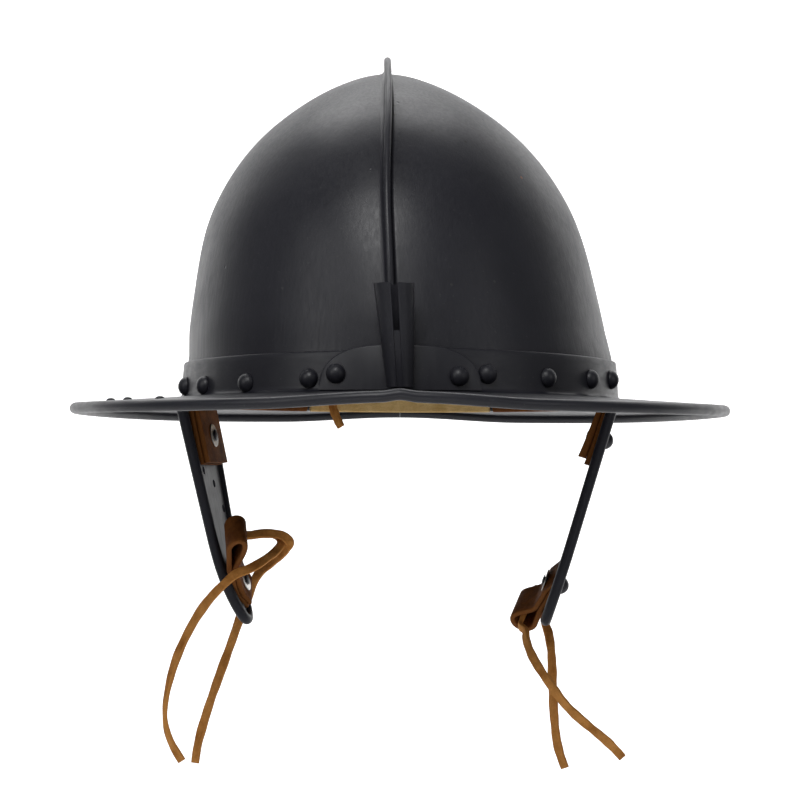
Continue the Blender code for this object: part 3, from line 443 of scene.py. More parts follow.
def black_paint(name, stroke, stroke_depth, pits=True, marks=(), shine=0.5):
    """Satin black paint: a slow mottle, hairline brush strokes, pits, and coloured marks at given places,
    some of them painted shade.
    """
    finish, tree, shader = new_finish(name, Specular_IOR_Level=shine)
    where = node(tree, "TexCoord").outputs["Object"]
    mottle = node(tree, "TexNoise", {"Vector": where, "Scale": 22.0, "Detail": 5.0, "Roughness": 0.6})
    dust = node(tree, "TexNoise", {"Vector": where, "Scale": 650.0, "Detail": 2.0})
    tone = node(tree, "Mix", {
        0: mottle.outputs["Fac"], 6: (0.0120, 0.0122, 0.0175, 1), 7: (0.0215, 0.0218, 0.0300, 1)
    }, data_type="RGBA")
    grey = node(tree, "MapRange", {"Value": dust.outputs["Fac"], 1: 0.68, 2: 0.80, 3: 0.0, 4: 0.35})
    dusty = node(tree, "Mix", {
        0: grey.outputs[0], 6: tone.outputs[2], 7: (0.075, 0.074, 0.075, 1)
    }, data_type="RGBA")
    colour = dusty.outputs[2]
    # Each mark's colour is laid over the paint, and the near-black ones are painted shade of pits and lumps.
    for place, size, spot_colour in marks:
        away = node(tree, "VectorMath", {0: where, 1: place}, operation="DISTANCE")
        spot = node(tree, "MapRange", {"Value": away.outputs["Value"], 1: size / 2, 2: size, 3: 1.0, 4: 0.0})
        colour = node(tree, "Mix", {
            0: spot.outputs[0], 6: colour, 7: (*spot_colour, 1)
        }, data_type="RGBA").outputs[2]
    tree.links.new(colour, shader.inputs["Base Color"])
    sheen = node(tree, "MapRange", {"Value": mottle.outputs["Fac"], 1: 0.3, 2: 0.7, 3: 0.36, 4: 0.47})
    drawn = node(tree, "Mapping", {"Vector": where, "Scale": stroke})
    hairs = node(tree, "TexNoise", {
        "Vector": drawn.outputs[0], "Scale": 1.0, "Detail": 4.0, "Roughness": 0.7
    })
    streak = node(tree, "MapRange", {"Value": hairs.outputs["Fac"], 1: 0.35, 2: 0.65, 3: -0.05, 4: 0.05})
    rough = node(tree, "Math", {0: sheen.outputs[0], 1: streak.outputs[0]}, operation="ADD")
    tree.links.new(rough.outputs[0], shader.inputs["Roughness"])
    lumps = node(tree, "TexNoise", {"Vector": where, "Scale": 34.0, "Detail": 2.0})
    fine = node(tree, "Bump", {"Height": hairs.outputs["Fac"], "Strength": stroke_depth, "Distance": 0.0002})
    broad = node(tree, "Bump", {
        "Height": lumps.outputs["Fac"], "Strength": 0.25, "Distance": 0.0016, "Normal": fine.outputs[0]
    })
    normal = broad.outputs[0]
    if pits:
        cells = node(tree, "TexVoronoi", {"Vector": where, "Scale": 75.0})
        dent = node(tree, "MapRange", {"Value": cells.outputs["Distance"], 1: 0.02, 2: 0.07, 3: 0.0, 4: 1.0})
        rare = node(tree, "SeparateColor", {0: cells.outputs["Color"]})
        keep = node(tree, "Math", {0: rare.outputs[0], 1: 0.86}, operation="LESS_THAN")
        hollow = node(tree, "Math", {0: dent.outputs[0], 1: keep.outputs[0]}, operation="MAXIMUM")
        normal = node(tree, "Bump", {
            "Height": hollow.outputs[0], "Strength": 0.5, "Distance": 0.0004, "Normal": normal
        }).outputs[0]
    tree.links.new(normal, shader.inputs["Normal"])
    return finish


skull_paint = black_paint("skull_paint", (700.0, 700.0, 26.0), 0.30, marks=PAINT_MARKS)


def comb_drift(height):
    """How far the seam and its comb wander to the wearer's left below the crown."""
    t = np.clip((DRIFT_TOP - height) / DRIFT_REACH, 0, 1)
    return COMB_DRIFT * t * t * (3 - 2 * t)


skull_lifts = np.linspace(math.asin(SKULL_BASE / SKULL_HEIGHT), math.pi / 2, 97)


def skull_half(side, seam):
    """Half the skull's outer face: rings from the base to the crown, each from seam round to seam."""
    width, length, height = skull_ring(skull_lifts)
    seam = seam - side * comb_drift(height)
    width = np.maximum(width, seam)
    first = np.arcsin(seam / width)[:, None]
    turn = first + (math.pi - 2 * first) * np.linspace(0, 1, 145)[None]
    return np.stack([
        side * width[:, None] * np.sin(turn) + skull_lean(height)[:, None],
        -length[:, None] * np.cos(turn),
        np.broadcast_to(height[:, None], turn.shape),
    ], -1)


for side, seam in ((LEFT, COMB_HALF / 2), (RIGHT, COMB_HALF + WELD_GAP)):
    skull_name = "skull_" + SIDE_NAMES[side]
    wall = skull_half(side, seam)
    skull = new_piece(skull_name + "_fine", wall, grid_quads(*wall.shape[:2]), skull_paint)
    plate = skull.modifiers.new("sheet", "SOLIDIFY")
    plate.thickness = SHEET
    plate.offset = -1
    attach(skull, "root")
    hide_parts(skull_name)


# Comb: the left half's edge turned up into a low fin from the plume holder over the crown to the brow,
# hammered round along its top, with a soft fillet on its left. Its right face meets the other half.
COMB_PROUD = 0.0082
COMB_FILLET = 0.0019
COMB_ROOT = 0.0012
COMB_END_SHARE = 0.35
COMB_FADE_DEG = 14
HOLDER_PLATE_TOP = 0.0268


def comb_sections():
    """The fin's outline set square to the crest at each station: round top, fillet on the left."""
    start = math.asin((HOLDER_PLATE_TOP + SEAT_GAP) / SKULL_HEIGHT) + math.radians(0.5)
    angle = np.linspace(start, math.pi - start, 241)
    lift = np.minimum(angle, math.pi - angle)
    front = np.where(angle > math.pi / 2, 1, -1)
    _, length, height = skull_ring(lift)
    ahead = skull_ring(np.minimum(lift + 0.01, math.pi / 2))
    behind = skull_ring(lift - 0.01)
    rise, fall = ahead[2] - behind[2], behind[1] - ahead[1]
    out = unit(np.stack([np.zeros_like(rise), front * rise, fall], -1))
    foot = np.stack([skull_lean(height) - comb_drift(height), front * length, height], -1)
    fade = np.clip(np.degrees(lift - start) / COMB_FADE_DEG, 0, 1)
    share = COMB_END_SHARE + (1 - COMB_END_SHARE) * np.sin(lift)
    proud = np.maximum(COMB_ROOT, COMB_PROUD * share * np.sin(fade * math.pi / 2))[:, None]
    fillet = np.minimum(COMB_FILLET, proud * 0.6)
    top = np.linspace(0, math.pi, 13)[None]
    curve = np.linspace(0, math.pi / 2, 9)[None]
    across = np.concatenate([
        np.full_like(proud, COMB_HALF),
        COMB_HALF * np.cos(top) + 0 * proud,
        -COMB_HALF - fillet * (1 - np.cos(curve)),
        -COMB_HALF - fillet * 1.05,
        -COMB_HALF - fillet * 1.05,
    ], 1)
    high = np.concatenate([
        np.full_like(proud, -COMB_ROOT),
        proud - COMB_HALF + COMB_HALF * np.sin(top),
        fillet * (1 - np.sin(curve)),
        np.full_like(proud, -SEAT_GAP),
        np.full_like(proud, -COMB_ROOT),
    ], 1)
    return foot[:, None] + across[..., None] * np.array([1.0, 0, 0]) + high[..., None] * out[:, None]


comb_paint = black_paint("comb_paint", (500.0, 60.0, 60.0), 0.10)
comb_body = comb_sections()
comb = new_piece("comb", comb_body, capped_faces(*comb_body.shape[:2]), comb_paint, 50)
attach(comb, "root")
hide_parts("skull_left")


# Brim: two halves of steel sheet, joined at the back and the front. The inner edge is turned up into a
# flange round the skull, and the outer edge is rolled over a wire.
BRIM_HALF_WIDTH = 0.1585
BRIM_HALF_LENGTH = 0.1780
BRIM_ROOT_SIDE = 0.0052
BRIM_ROOT_END = 0.0062
BRIM_ROOT_FILLET = 0.0008
FLANGE_STEPS = (0.0030, 0.0060, 0.0100)
EDGE_ROLL_RADIUS = 0.0026
RIM_RAISE = 0.0023
RIM_RAISE_REACH_DEG = 24
RIM_DIP = 0.0010
BRIM_SEAM = 0.00004
# The left half's flange is lower, and the rolled edge has a lump where the halves meet at the back
FLANGE_LOW = {LEFT: 0.0013, RIGHT: 0.0}
RIM_LUMP = 0.0010
RIM_LUMP_DEG = 1.7


def by_end(turn, at_side, at_end):
    """From one value at the sides to another at the back and front, by the squared cosine."""
    return at_side + (at_end - at_side) * np.cos(turn) ** 2


def brim_lines(turn, side):
    """The flange's foot, the roll's centre and the level way out between them."""
    foot = wall_point(turn, side, by_end(turn, BRIM_ROOT_SIDE, BRIM_ROOT_END), SEAT_GAP + SHEET)
    from_end = np.degrees(np.minimum(turn, math.pi - turn))
    lobe = np.cos(np.radians(90 * np.minimum(from_end / RIM_RAISE_REACH_DEG, 1))) ** 2
    lump = RIM_LUMP * np.exp(-(np.degrees(turn) / RIM_LUMP_DEG) ** 2)
    roll = np.stack([
        side * (BRIM_HALF_WIDTH - EDGE_ROLL_RADIUS) * np.sin(turn),
        -(BRIM_HALF_LENGTH - EDGE_ROLL_RADIUS) * np.cos(turn),
        RIM_RAISE * lobe - RIM_DIP * np.sin(2 * turn) ** 2 + lump,
    ], -1)
    out = roll - foot
    out[..., 2] = 0
    return foot, roll, unit(out)


def brim_sections(side):
    """Flange, plate and roll as one closed outline, carried round from the back to the front."""
    turn = np.linspace(0, math.pi, 241)
    top = by_end(turn, FLANGE_TOP_SIDE, FLANGE_TOP_END) - FLANGE_LOW[side] * np.clip(4 * np.sin(turn), 0, 1)
    foot, roll, out = brim_lines(turn, side)
    up = np.array([0, 0, 1.0])
    crest = roll + up * EDGE_ROLL_RADIUS
    points = []
    for angle in np.radians((180, 135, 90, 45, 0)):
        lip = SEAT_GAP + SHEET / 2 + SHEET / 2 * math.cos(angle)
        points.append(wall_point(turn, side, top + SHEET / 2 * (math.sin(angle) - 1), lip))
    for down in FLANGE_STEPS:
        points.append(wall_point(turn, side, top - down, SEAT_GAP + SHEET))
    reach = 3 * BRIM_ROOT_FILLET
    above = wall_point(turn, side, foot[:, 2] + reach, SEAT_GAP + SHEET)
    slope = crest - foot
    beyond = foot + slope * (reach / np.linalg.norm(slope[:, :2], axis=1))[:, None]
    for t in np.linspace(0, 1, 7):
        points.append((1 - t) ** 2 * above + 2 * t * (1 - t) * foot + t**2 * beyond)
    for t in np.linspace(0, 1, 10)[1:-1]:
        points.append(beyond + (crest - beyond) * t)
    for angle in np.radians(np.linspace(90, -180, 28)):
        arm = out * math.cos(angle) + up * math.sin(angle)
        points.append(roll + arm * EDGE_ROLL_RADIUS)
    bite = math.sqrt(EDGE_ROLL_RADIUS**2 - (EDGE_ROLL_RADIUS - SHEET) ** 2)
    edge = crest - up * SHEET - out * bite
    inner = foot - up * SHEET + out * SHEET
    for t in np.linspace(0, 1, 10):
        points.append(edge + (inner - edge) * t)
    points.append(wall_point(turn, side, foot[:, 2] - SHEET, SEAT_GAP))
    body = np.stack(points, 1)
    body[..., 0] += side * BRIM_SEAM / 2
    return body


brim_paint = black_paint("brim_paint", (120.0, 120.0, 420.0), 0.12)
for side in (LEFT, RIGHT):
    brim_name = "brim_" + SIDE_NAMES[side]
    body = brim_sections(side)
    brim = new_piece(brim_name + "_fine", body, capped_faces(*body.shape[:2]), brim_paint, 50)
    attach(brim, "root")
    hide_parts(brim_name)


# Rivets: round-headed iron rivets, painted with the helmet. Sixteen hold the flange, and the leathers
# inside it, to the skull, two hold the plume holder, and three small ones stand on the brim's left.
RIVET_HEAD_RADIUS = 0.00450
RIVET_HEAD_HEIGHT = 0.0038
RIVET_SHANK_RADIUS = 0.0017
RIVET_TAIL_RADIUS = 0.0029
RIVET_TAIL_HEIGHT = 0.0008
RIVET_TAIL_GAP = 0.0002
HEAD_GAP = 0.0001
LEATHER_GAP = 0.0006
LINER_LEATHER = 0.0020
STRAP_PLY = 0.0026
# Each flange rivet's turn from the back and its height
BAND_RIVET_TURNS_DEG = {
    LEFT: (22.9, 41.6, 59.7, 74.3, 107.5, 122.5, 140.4, 157.8),
    RIGHT: (21.9, 39.6, 57.2, 71.0, 107.5, 122.5, 140.4, 157.8),
}
BAND_RIVET_LIFTS = {
    LEFT: (0.0118, 0.0102, 0.0098, 0.0102, 0.0112, 0.0112, 0.0112, 0.0112),
    RIGHT: (0.0140, 0.0131, 0.0134, 0.0140, 0.0130, 0.0130, 0.0130, 0.0130),
}
HOLDER_RIVET_TURN_DEG = {LEFT: 15.6, RIGHT: 14.3}
HOLDER_RIVET_LIFT = {LEFT: 0.0138, RIGHT: 0.0128}
BRIM_RIVET_TURNS_DEG = (49.7, 62.0, 73.1)
BRIM_RIVET_INSET = 0.017
BRIM_RIVET_RADIUS = 0.0021
BRIM_RIVET_HEIGHT = 0.0011
LINER_HALF_TURN_DEG = 27.5
ANCHOR_HALF_TURN_DEG = 61


def rivet_profile(radius, height, grip):
    """A rivet's outline from the top of its dome down to its tail, as (radius, height) points."""
    dome = np.linspace(0, math.pi / 2, 12)
    head = np.stack([radius * np.sin(dome), height * np.cos(dome) ** 1.15], 1)
    tail = -(grip + RIVET_TAIL_GAP)
    beat = np.linspace(0, math.pi / 2, 5)
    hammered = np.stack([
        RIVET_TAIL_RADIUS * np.cos(beat), tail - RIVET_TAIL_HEIGHT * np.sin(beat)
    ], 1)
    under = [(radius * 0.98, -HEAD_GAP), (RIVET_SHANK_RADIUS, -HEAD_GAP), (RIVET_SHANK_RADIUS, tail)]
    return np.concatenate([head, under, hammered])


def turned_about(profile, place, axis, steps=28):
    """The profile turned about the axis through the place: a grid of profile points by angles."""
    axis = np.asarray(axis, float)
    first = unit(np.cross(axis, (0.3, 0.2, 0.93)))
    second = np.cross(axis, first)
    angles = np.arange(steps) * 2 * math.pi / steps
    ring_way = np.cos(angles)[:, None] * first + np.sin(angles)[:, None] * second
    return (
        np.asarray(place) + profile[:, None, :1] * ring_way[None] + profile[:, None, 1:] * axis[None, None]
    )


def joined(bodies, faces_of):
    """Several grids as one list of points and one of faces, which faces_of makes from rows and columns."""
    points, faces, count = [], [], 0
    for body in bodies:
        rows, columns = body.shape[:2]
        points.append(body.reshape(-1, 3))
        faces += [[corner + count for corner in face] for face in faces_of(rows, columns)]
        count += rows * columns
    return np.concatenate(points), faces


def wall_normal(turn, side, height):
    """The level normal of the skull's wall."""
    width, length, _ = skull_ring(math.asin(height / SKULL_HEIGHT))
    return unit(np.array([side * math.sin(turn) / width, -math.cos(turn) / length, 0]))


rivet_paint = black_paint("rivet_paint", (300.0, 300.0, 300.0), 0.10, pits=False)
walls = 2 * SHEET + SEAT_GAP
rivet_bodies, rivet_nodes = [], []
for side in (LEFT, RIGHT):
    for number, degrees in enumerate(BAND_RIVET_TURNS_DEG[side], 1):
        leather_there = 0.0
        if degrees > 180 - LINER_HALF_TURN_DEG:
            leather_there = LINER_LEATHER + LEATHER_GAP
        elif abs(degrees - 90) < ANCHOR_HALF_TURN_DEG:
            leather_there = STRAP_PLY + LEATHER_GAP
        turn = math.radians(degrees)
        lift = BAND_RIVET_LIFTS[side][number - 1]
        normal = wall_normal(turn, side, lift)
        seat = wall_point(turn, side, lift, SEAT_GAP + SHEET) + normal * HEAD_GAP
        grip = walls + leather_there + SEAT_GAP
        profile = rivet_profile(RIVET_HEAD_RADIUS, RIVET_HEAD_HEIGHT, grip)
        rivet_bodies.append(turned_about(profile, seat, normal))
        rivet_nodes.append(f"band_rivet_{SIDE_NAMES[side]}_{number}")
    turn = math.radians(HOLDER_RIVET_TURN_DEG[side])
    lift = HOLDER_RIVET_LIFT[side]
    normal = wall_normal(turn, side, lift)
    seat = wall_point(turn, side, lift, 2 * (SEAT_GAP + SHEET)) + normal * HEAD_GAP
    grip = walls + SHEET + 2 * SEAT_GAP
    profile = rivet_profile(RIVET_HEAD_RADIUS, RIVET_HEAD_HEIGHT, grip)
    rivet_bodies.append(turned_about(profile, seat, normal))
    rivet_nodes.append("holder_rivet_" + SIDE_NAMES[side])
for number, degrees in enumerate(BRIM_RIVET_TURNS_DEG, 1):
    foot, roll, out = brim_lines(np.array([math.radians(degrees)]), LEFT)
    crest = roll[0] + (0, 0, EDGE_ROLL_RADIUS)
    slope = crest - foot[0]
    run_out = np.linalg.norm(slope[:2])
    seat = foot[0] + slope * (1 - (BRIM_RIVET_INSET - EDGE_ROLL_RADIUS) / run_out)
    normal = unit(np.array([-out[0, 0] * slope[2], -out[0, 1] * slope[2], run_out]))
    profile = rivet_profile(BRIM_RIVET_RADIUS, BRIM_RIVET_HEIGHT, SHEET + SEAT_GAP)
    rivet_bodies.append(turned_about(profile, seat + normal * HEAD_GAP, normal))
    rivet_nodes.append(f"brim_rivet_{number}")
rivets = new_piece("rivets", *joined(rivet_bodies, ring_quads), rivet_paint, 50)
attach(rivets, "root")
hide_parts(*rivet_nodes)


# Plume holder: sheet steel rolled into a tapering tube, open down its back to a ledge and closed below,
# on a rounded plate that is riveted over the flange's rear joint.
HOLDER_TOP_RADIUS = 0.00905
HOLDER_FOOT_RADIUS = 0.00595
HOLDER_WALL = 0.0014
HOLDER_TOP = 0.0532
HOLDER_LEAN = 0.0029
HOLDER_SLOT_WIDTH = 0.0036
HOLDER_SLOT_FOOT = 0.0323
HOLDER_PLATE_HALF_WIDTH = 0.0365
HOLDER_FOOT = BRIM_ROOT_END + BRIM_ROOT_FILLET + 2 * SEAT_GAP
PLATE_NEAR = 2 * SEAT_GAP + SHEET
PLATE_FOOT_DIP = 0.0010
# How far the tongue laps the slot's sides, and how deep its two faces lie inside the tube's outside
TONGUE_LAP = 0.0004
TONGUE_SINK, TONGUE_DEPTH = 0.00045, 0.0012


def holder_core(heights):
    """The tube's outer radius at each height, and its middle's place: a leaning taper."""
    share = ((heights - HOLDER_FOOT) / (HOLDER_TOP - HOLDER_FOOT))[:, None]
    radius = HOLDER_FOOT_RADIUS + (HOLDER_TOP_RADIUS - HOLDER_FOOT_RADIUS) * share
    return radius, -HOLDER_LEAN * share, -(SKULL_HALF_LENGTH + PLATE_NEAR + 0.5 * SHEET + radius)


def holder_tube(heights):
    """A rolled wall with a gap at its back: an arc outside and back inside."""
    radius, centre_x, centre_y = holder_core(heights)
    outer, inner = radius, radius - HOLDER_WALL
    start = np.arcsin(HOLDER_SLOT_WIDTH / 2 / radius)
    spread = start + (2 * math.pi - 2 * start) * np.linspace(0, 1, 73)[None]
    lip = np.linspace(0, math.pi, 7)[1:-1][None]
    middle, thick = (outer + inner) / 2, (outer - inner) / 2
    radii = np.concatenate([
        outer + 0 * spread, middle + thick * np.cos(lip), inner + 0 * spread, middle - thick * np.cos(lip)
    ], 1)
    push = thick * np.sin(lip) / radius
    angles = np.concatenate([
        spread, spread[:, -1:] + 0.6 * push, spread[:, ::-1], spread[:, :1] - 0.6 * push
    ], 1) - math.pi / 2
    return np.stack([
        centre_x + radii * np.cos(angles), centre_y + radii * np.sin(angles),
        np.broadcast_to(heights[:, None], radii.shape),
    ], -1)


def holder_plate():
    """The plate's rounded outline laid on the flange: station by station across, round at its edge."""
    span = math.asin(HOLDER_PLATE_HALF_WIDTH / (SKULL_HALF_WIDTH + PLATE_NEAR + SHEET))
    share = np.linspace(-1, 1, 161)
    swell = (1 - np.minimum(np.abs(share), 0.9995) ** 3.2) ** (1 / 2.2)
    top = HOLDER_FOOT + (HOLDER_PLATE_TOP - HOLDER_FOOT) * swell
    rows = []
    for angle in np.linspace(0, math.pi, 7):
        through = PLATE_NEAR + SHEET / 2 - SHEET / 2 * math.cos(angle)
        high = top + SHEET / 2 * (math.sin(angle) - 1)
        right = wall_point(np.abs(share) * span, 1, np.maximum(high, HOLDER_FOOT), through)
        right[:, 0] *= np.sign(share)
        rows.append(right)
    for depth, low in ((PLATE_NEAR + SHEET, HOLDER_FOOT - PLATE_FOOT_DIP), (PLATE_NEAR, HOLDER_FOOT)):
        right = wall_point(np.abs(share) * span, 1, low, depth)
        right[:, 0] *= np.sign(share)
        rows.append(right)
    return np.stack(rows, 1)


def holder_tongue(heights):
    """The strip that closes the slot below its ledge, just inside the tube's outer face."""
    radius, centre_x, centre_y = holder_core(heights)
    across = np.array([-1, 1, 1, -1])[None] * (HOLDER_SLOT_WIDTH / 2 + TONGUE_LAP)
    out = radius - np.array([TONGUE_SINK, TONGUE_SINK, TONGUE_DEPTH, TONGUE_DEPTH])[None]
    return np.stack([
        across + centre_x, centre_y - np.sqrt(np.maximum(out**2 - across**2, 0)),
        np.broadcast_to(heights[:, None], out.shape),
    ], -1)


holder_paint = black_paint("holder_paint", (600.0, 600.0, 40.0), 0.10)
holder_bodies = (
    holder_tube(np.linspace(HOLDER_FOOT, HOLDER_TOP, 41)),
    holder_plate(),
    holder_tongue(np.linspace(HOLDER_FOOT, HOLDER_SLOT_FOOT, 12)),
)
holder = new_piece("plume_holder_fine", *joined(holder_bodies, capped_faces), holder_paint, 45)
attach(holder, "root")
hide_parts("plume_holder")


# Liner: a band of soft tan leather riveted inside the front of the skull with the flange.
LINER_TOP = 0.0340
LINER_BASE = 0.0014


def leather_wall(turns, side, low, high, near, thickness):
    """Leather against the skull's inside: an upright outline with round corners, carried round."""
    round_off = np.linspace(0, math.pi, 7)
    across, height = [], []
    for centre, sign in ((high - thickness / 2, 1), (low + thickness / 2, -1)):
        across.append(-near - thickness / 2 + sign * thickness / 2 * np.cos(round_off))
        height.append(centre + sign * thickness / 2 * np.sin(round_off))
    across, height = np.concatenate(across), np.concatenate(height)
    return wall_point(turns[:, None], side, height[None], across[None])


liner_leather = leather(
    "liner_leather", (0.60, 0.38, 0.14), (0.86, 0.62, 0.28), (0.40, 0.20, 0.07), 800.0, 0.7
)
liner_turns = math.pi + np.radians(np.linspace(-LINER_HALF_TURN_DEG, LINER_HALF_TURN_DEG, 61))
liner_body = leather_wall(liner_turns, RIGHT, LINER_BASE, LINER_TOP, SHEET + LEATHER_GAP, LINER_LEATHER)
liner = new_piece("liner_front_fine", liner_body, capped_faces(*liner_body.shape[:2]), liner_leather, 60)
mark_cut_sides(liner, np.zeros(liner_body.size // 3))
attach(liner, "root")
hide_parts("liner_front")


# Cheek pieces: tongues of steel sheet with the edge rolled over a wire all round, punched with three
# holes for hearing. Each hangs on its strap, so the two hang a little differently.
CHEEK_TOP = -0.0030
CHEEK_LEAD = 0.0024
CHEEK_DROP = 0.0980
CHEEK_HALF_WIDTH = 0.0230
CHEEK_TAPER = 0.115
CHEEK_TIP_START = 0.71
CHEEK_CURL_START = 0.6
CHEEK_HOLE_RADIUS = 0.0020
PUNCH_LENGTH = 0.012
HALF_STEP = 0.0005
CHEEK_HANG = {
    LEFT: {"out": 0.0983, "yaw": 12.0, "tilt": 11.9, "curl": 0.0043},
    RIGHT: {"out": 0.1012, "yaw": -3.6, "tilt": 16.7, "curl": 0.0010},
}
CHEEK_HOLES = ((0.27, -0.50), (0.335, 0.20), (0.46, 0.66))


def cheek_frame(side, drop):
    """At each drop: the middle's place, and the ways to the front, out from the face and down."""
    hang = CHEEK_HANG[side]
    drop = np.atleast_1d(np.asarray(drop, float))

    def middle(at):
        curl = np.clip((at / CHEEK_DROP - CHEEK_CURL_START) / (1 - CHEEK_CURL_START), 0, None) ** 2
        inward = math.tan(math.radians(hang["tilt"])) * at + hang["curl"] * curl
        return np.stack([side * (hang["out"] - inward), 0 * at, CHEEK_TOP - at], -1)

    down = unit(middle(drop + HALF_STEP) - middle(drop - HALF_STEP))
    yaw = math.radians(hang["yaw"])
    across = np.broadcast_to(np.array([-side * math.sin(yaw), math.cos(yaw), 0]), down.shape)
    out = unit(np.cross(across, down))
    out = out * np.where(out[:, :1] * side < 0, -1, 1)
    return middle(drop), across, out, down


def cheek_half_width(drop):
    """A straight taper, rounded off at the tip."""
    past = np.clip((drop / CHEEK_DROP - CHEEK_TIP_START) / (1 - CHEEK_TIP_START), 0, 1)
    return (CHEEK_HALF_WIDTH - CHEEK_TAPER * drop) * np.sqrt(np.maximum(0, 1 - past**2.2))


def cheek_body(side):
    """Each section runs from the middle line out over the face, round the edge roll and back inside."""
    start = CHEEK_TIP_START * CHEEK_DROP
    straight = np.linspace(-CHEEK_LEAD, start, 50)
    tip = start + (CHEEK_DROP - start) * np.sin(np.linspace(0, math.pi / 2, 40))[1:]
    drop = np.concatenate([straight, tip])
    drop = np.concatenate([drop, drop[-2::-1]])
    way = np.where(np.arange(len(drop)) < len(drop) // 2 + 1, -1.0, 1.0)
    edge_across = way * cheek_half_width(drop)
    place, across, out, _ = cheek_frame(side, drop)
    edge = place + across * edge_across[:, None]
    root_drop = np.minimum(drop, start)
    along = unit(np.gradient(edge, axis=0))
    outward = unit(np.cross(along, out))
    outward *= np.sign(((edge - cheek_frame(side, root_drop)[0]) * outward).sum(-1, keepdims=True))
    bite = math.sqrt(EDGE_ROLL_RADIUS**2 - (SHEET / 2) ** 2)
    reach = np.linalg.norm(edge - cheek_frame(side, root_drop)[0], axis=1)
    stop = np.clip(1 - bite / reach, 0, 1)
    rows = []

    def face_point(share, through):
        part = share * stop
        at = root_drop + (drop - root_drop) * part
        spot, aside, away, _ = cheek_frame(side, at)
        return spot + aside * (edge_across * part)[:, None] + away * through

    for share in np.linspace(0, 1, 12):
        rows.append(face_point(share, SHEET / 2))
    opening = math.asin(SHEET / 2 / EDGE_ROLL_RADIUS)
    for angle in np.linspace(math.pi - opening, -math.pi + opening, 23)[1:-1]:
        arm = outward * math.cos(angle) + out * math.sin(angle)
        rows.append(edge + arm * EDGE_ROLL_RADIUS)
    for share in np.linspace(1, 0, 12):
        rows.append(face_point(share, -SHEET / 2))
    return np.stack(rows, 1)


def drilled(piece, places, radius):
    """Round holes cut square through the piece at (point, direction) places."""
    shape = bmesh.new()
    for point, direction in places:
        stand = Vector(direction).to_track_quat("Z", "Y").to_matrix().to_4x4()
        bmesh.ops.create_cone(
            shape, cap_ends=True, segments=24, radius1=radius, radius2=radius, depth=PUNCH_LENGTH,
            matrix=Matrix.Translation(Vector(point)) @ stand,
        )
    mesh = bpy.data.meshes.new("punches")
    shape.to_mesh(mesh)
    shape.free()
    punches = bpy.data.objects.new("punches", mesh)
    bpy.context.scene.collection.objects.link(punches)
    cut = piece.modifiers.new("holes", "BOOLEAN")
    cut.operation = "DIFFERENCE"
    cut.object = punches
    graph = bpy.context.evaluated_depsgraph_get()
    graph.update()
    whole = bpy.data.meshes.new_from_object(piece.evaluated_get(graph))
    piece.modifiers.remove(cut)
    piece.data = whole
    bpy.data.objects.remove(punches, do_unlink=True)


cheek_paint = black_paint("cheek_paint", (500.0, 500.0, 40.0), 0.16, shine=0.22)
for side in (LEFT, RIGHT):
    cheek_name = "cheek_" + SIDE_NAMES[side]
    body = cheek_body(side)
    rows, columns = body.shape[:2]
    faces = grid_quads(rows, columns).tolist()
    faces += [list(range(columns)), list(range((rows - 1) * columns, rows * columns))]
    cheek = new_piece(cheek_name + "_fine", body, faces, cheek_paint, 40)
    hole_places = []
    for down, front in CHEEK_HOLES:
        spot, aside, away, _ = cheek_frame(side, down * CHEEK_DROP)
        hole_places.append((spot[0] + aside[0] * front * cheek_half_width(down * CHEEK_DROP), away[0]))
    drilled(cheek, hole_places, CHEEK_HOLE_RADIUS)
    cheek.data.set_sharp_from_angle(angle=math.radians(40))
    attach(cheek, "root")
    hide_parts(cheek_name)


# Hinge straps: dark brown harness leather folded double. The top is riveted inside the skull with the
# flange, and the strap hangs below the brim with the cheek piece riveted on its outside.
STRAP_WIDTH = 0.0340
STRAP_OUTER_END = -0.0270
STRAP_INNER_END = {LEFT: -0.0266, RIGHT: -0.0243}
STRAP_ROOT = 0.0190
STRAP_CORNER = 0.0009
STRAP_LEAVES_WALL = 0.0070
PLY_GAP = 0.0001
# The skull's outline is read no lower than this
LEAST_HEIGHT = 0.0005
# How much thicker the leather is at its sides, where the rivet doesn't press it, and at its foot
STRAP_CUP = {LEFT: 0.0002, RIGHT: 0.0023}
STRAP_FLARE = {LEFT: 0.0, RIGHT: 0.0012}
ANCHOR_TOP = 0.0220


def strap_ply(side, top, bottom, near, thickness):
    """One ply: an outline with round corners, curved with the skull above the brim and flat below."""
    heights = np.linspace(top, bottom, 60)
    outline, side_share = strip_outline(STRAP_WIDTH, thickness, STRAP_CORNER, 3)
    across = outline[:, 0]
    depth = near + thickness / 2 - outline[:, 1]
    turns = (math.pi / 2 + across / SKULL_HALF_LENGTH)[None]
    on_wall = np.maximum(heights, LEAST_HEIGHT)[:, None]
    above = wall_point(turns, side, on_wall, -(SHEET + LEATHER_GAP + depth)[None])
    spot, aside, away, _ = cheek_frame(side, CHEEK_TOP - heights)
    foot = np.clip(-heights / -STRAP_OUTER_END, 0, 1)[:, None]
    cup = STRAP_CUP[side] * np.sqrt(foot) * (2 * across[None] / STRAP_WIDTH) ** 2
    swell = cup + STRAP_FLARE[side] * foot**3
    stand = SHEET / 2 + SEAT_GAP + depth[None] + swell * depth[None] / (2 * STRAP_PLY)
    below = spot[:, None] + aside[:, None] * across[None, :, None] - away[:, None] * stand[..., None]
    t = np.clip((STRAP_LEAVES_WALL - heights) / STRAP_LEAVES_WALL, 0, 1)[:, None, None]
    ease = t * t * (3 - 2 * t)
    return above * (1 - ease) + below * ease, np.tile(side_share, len(heights))


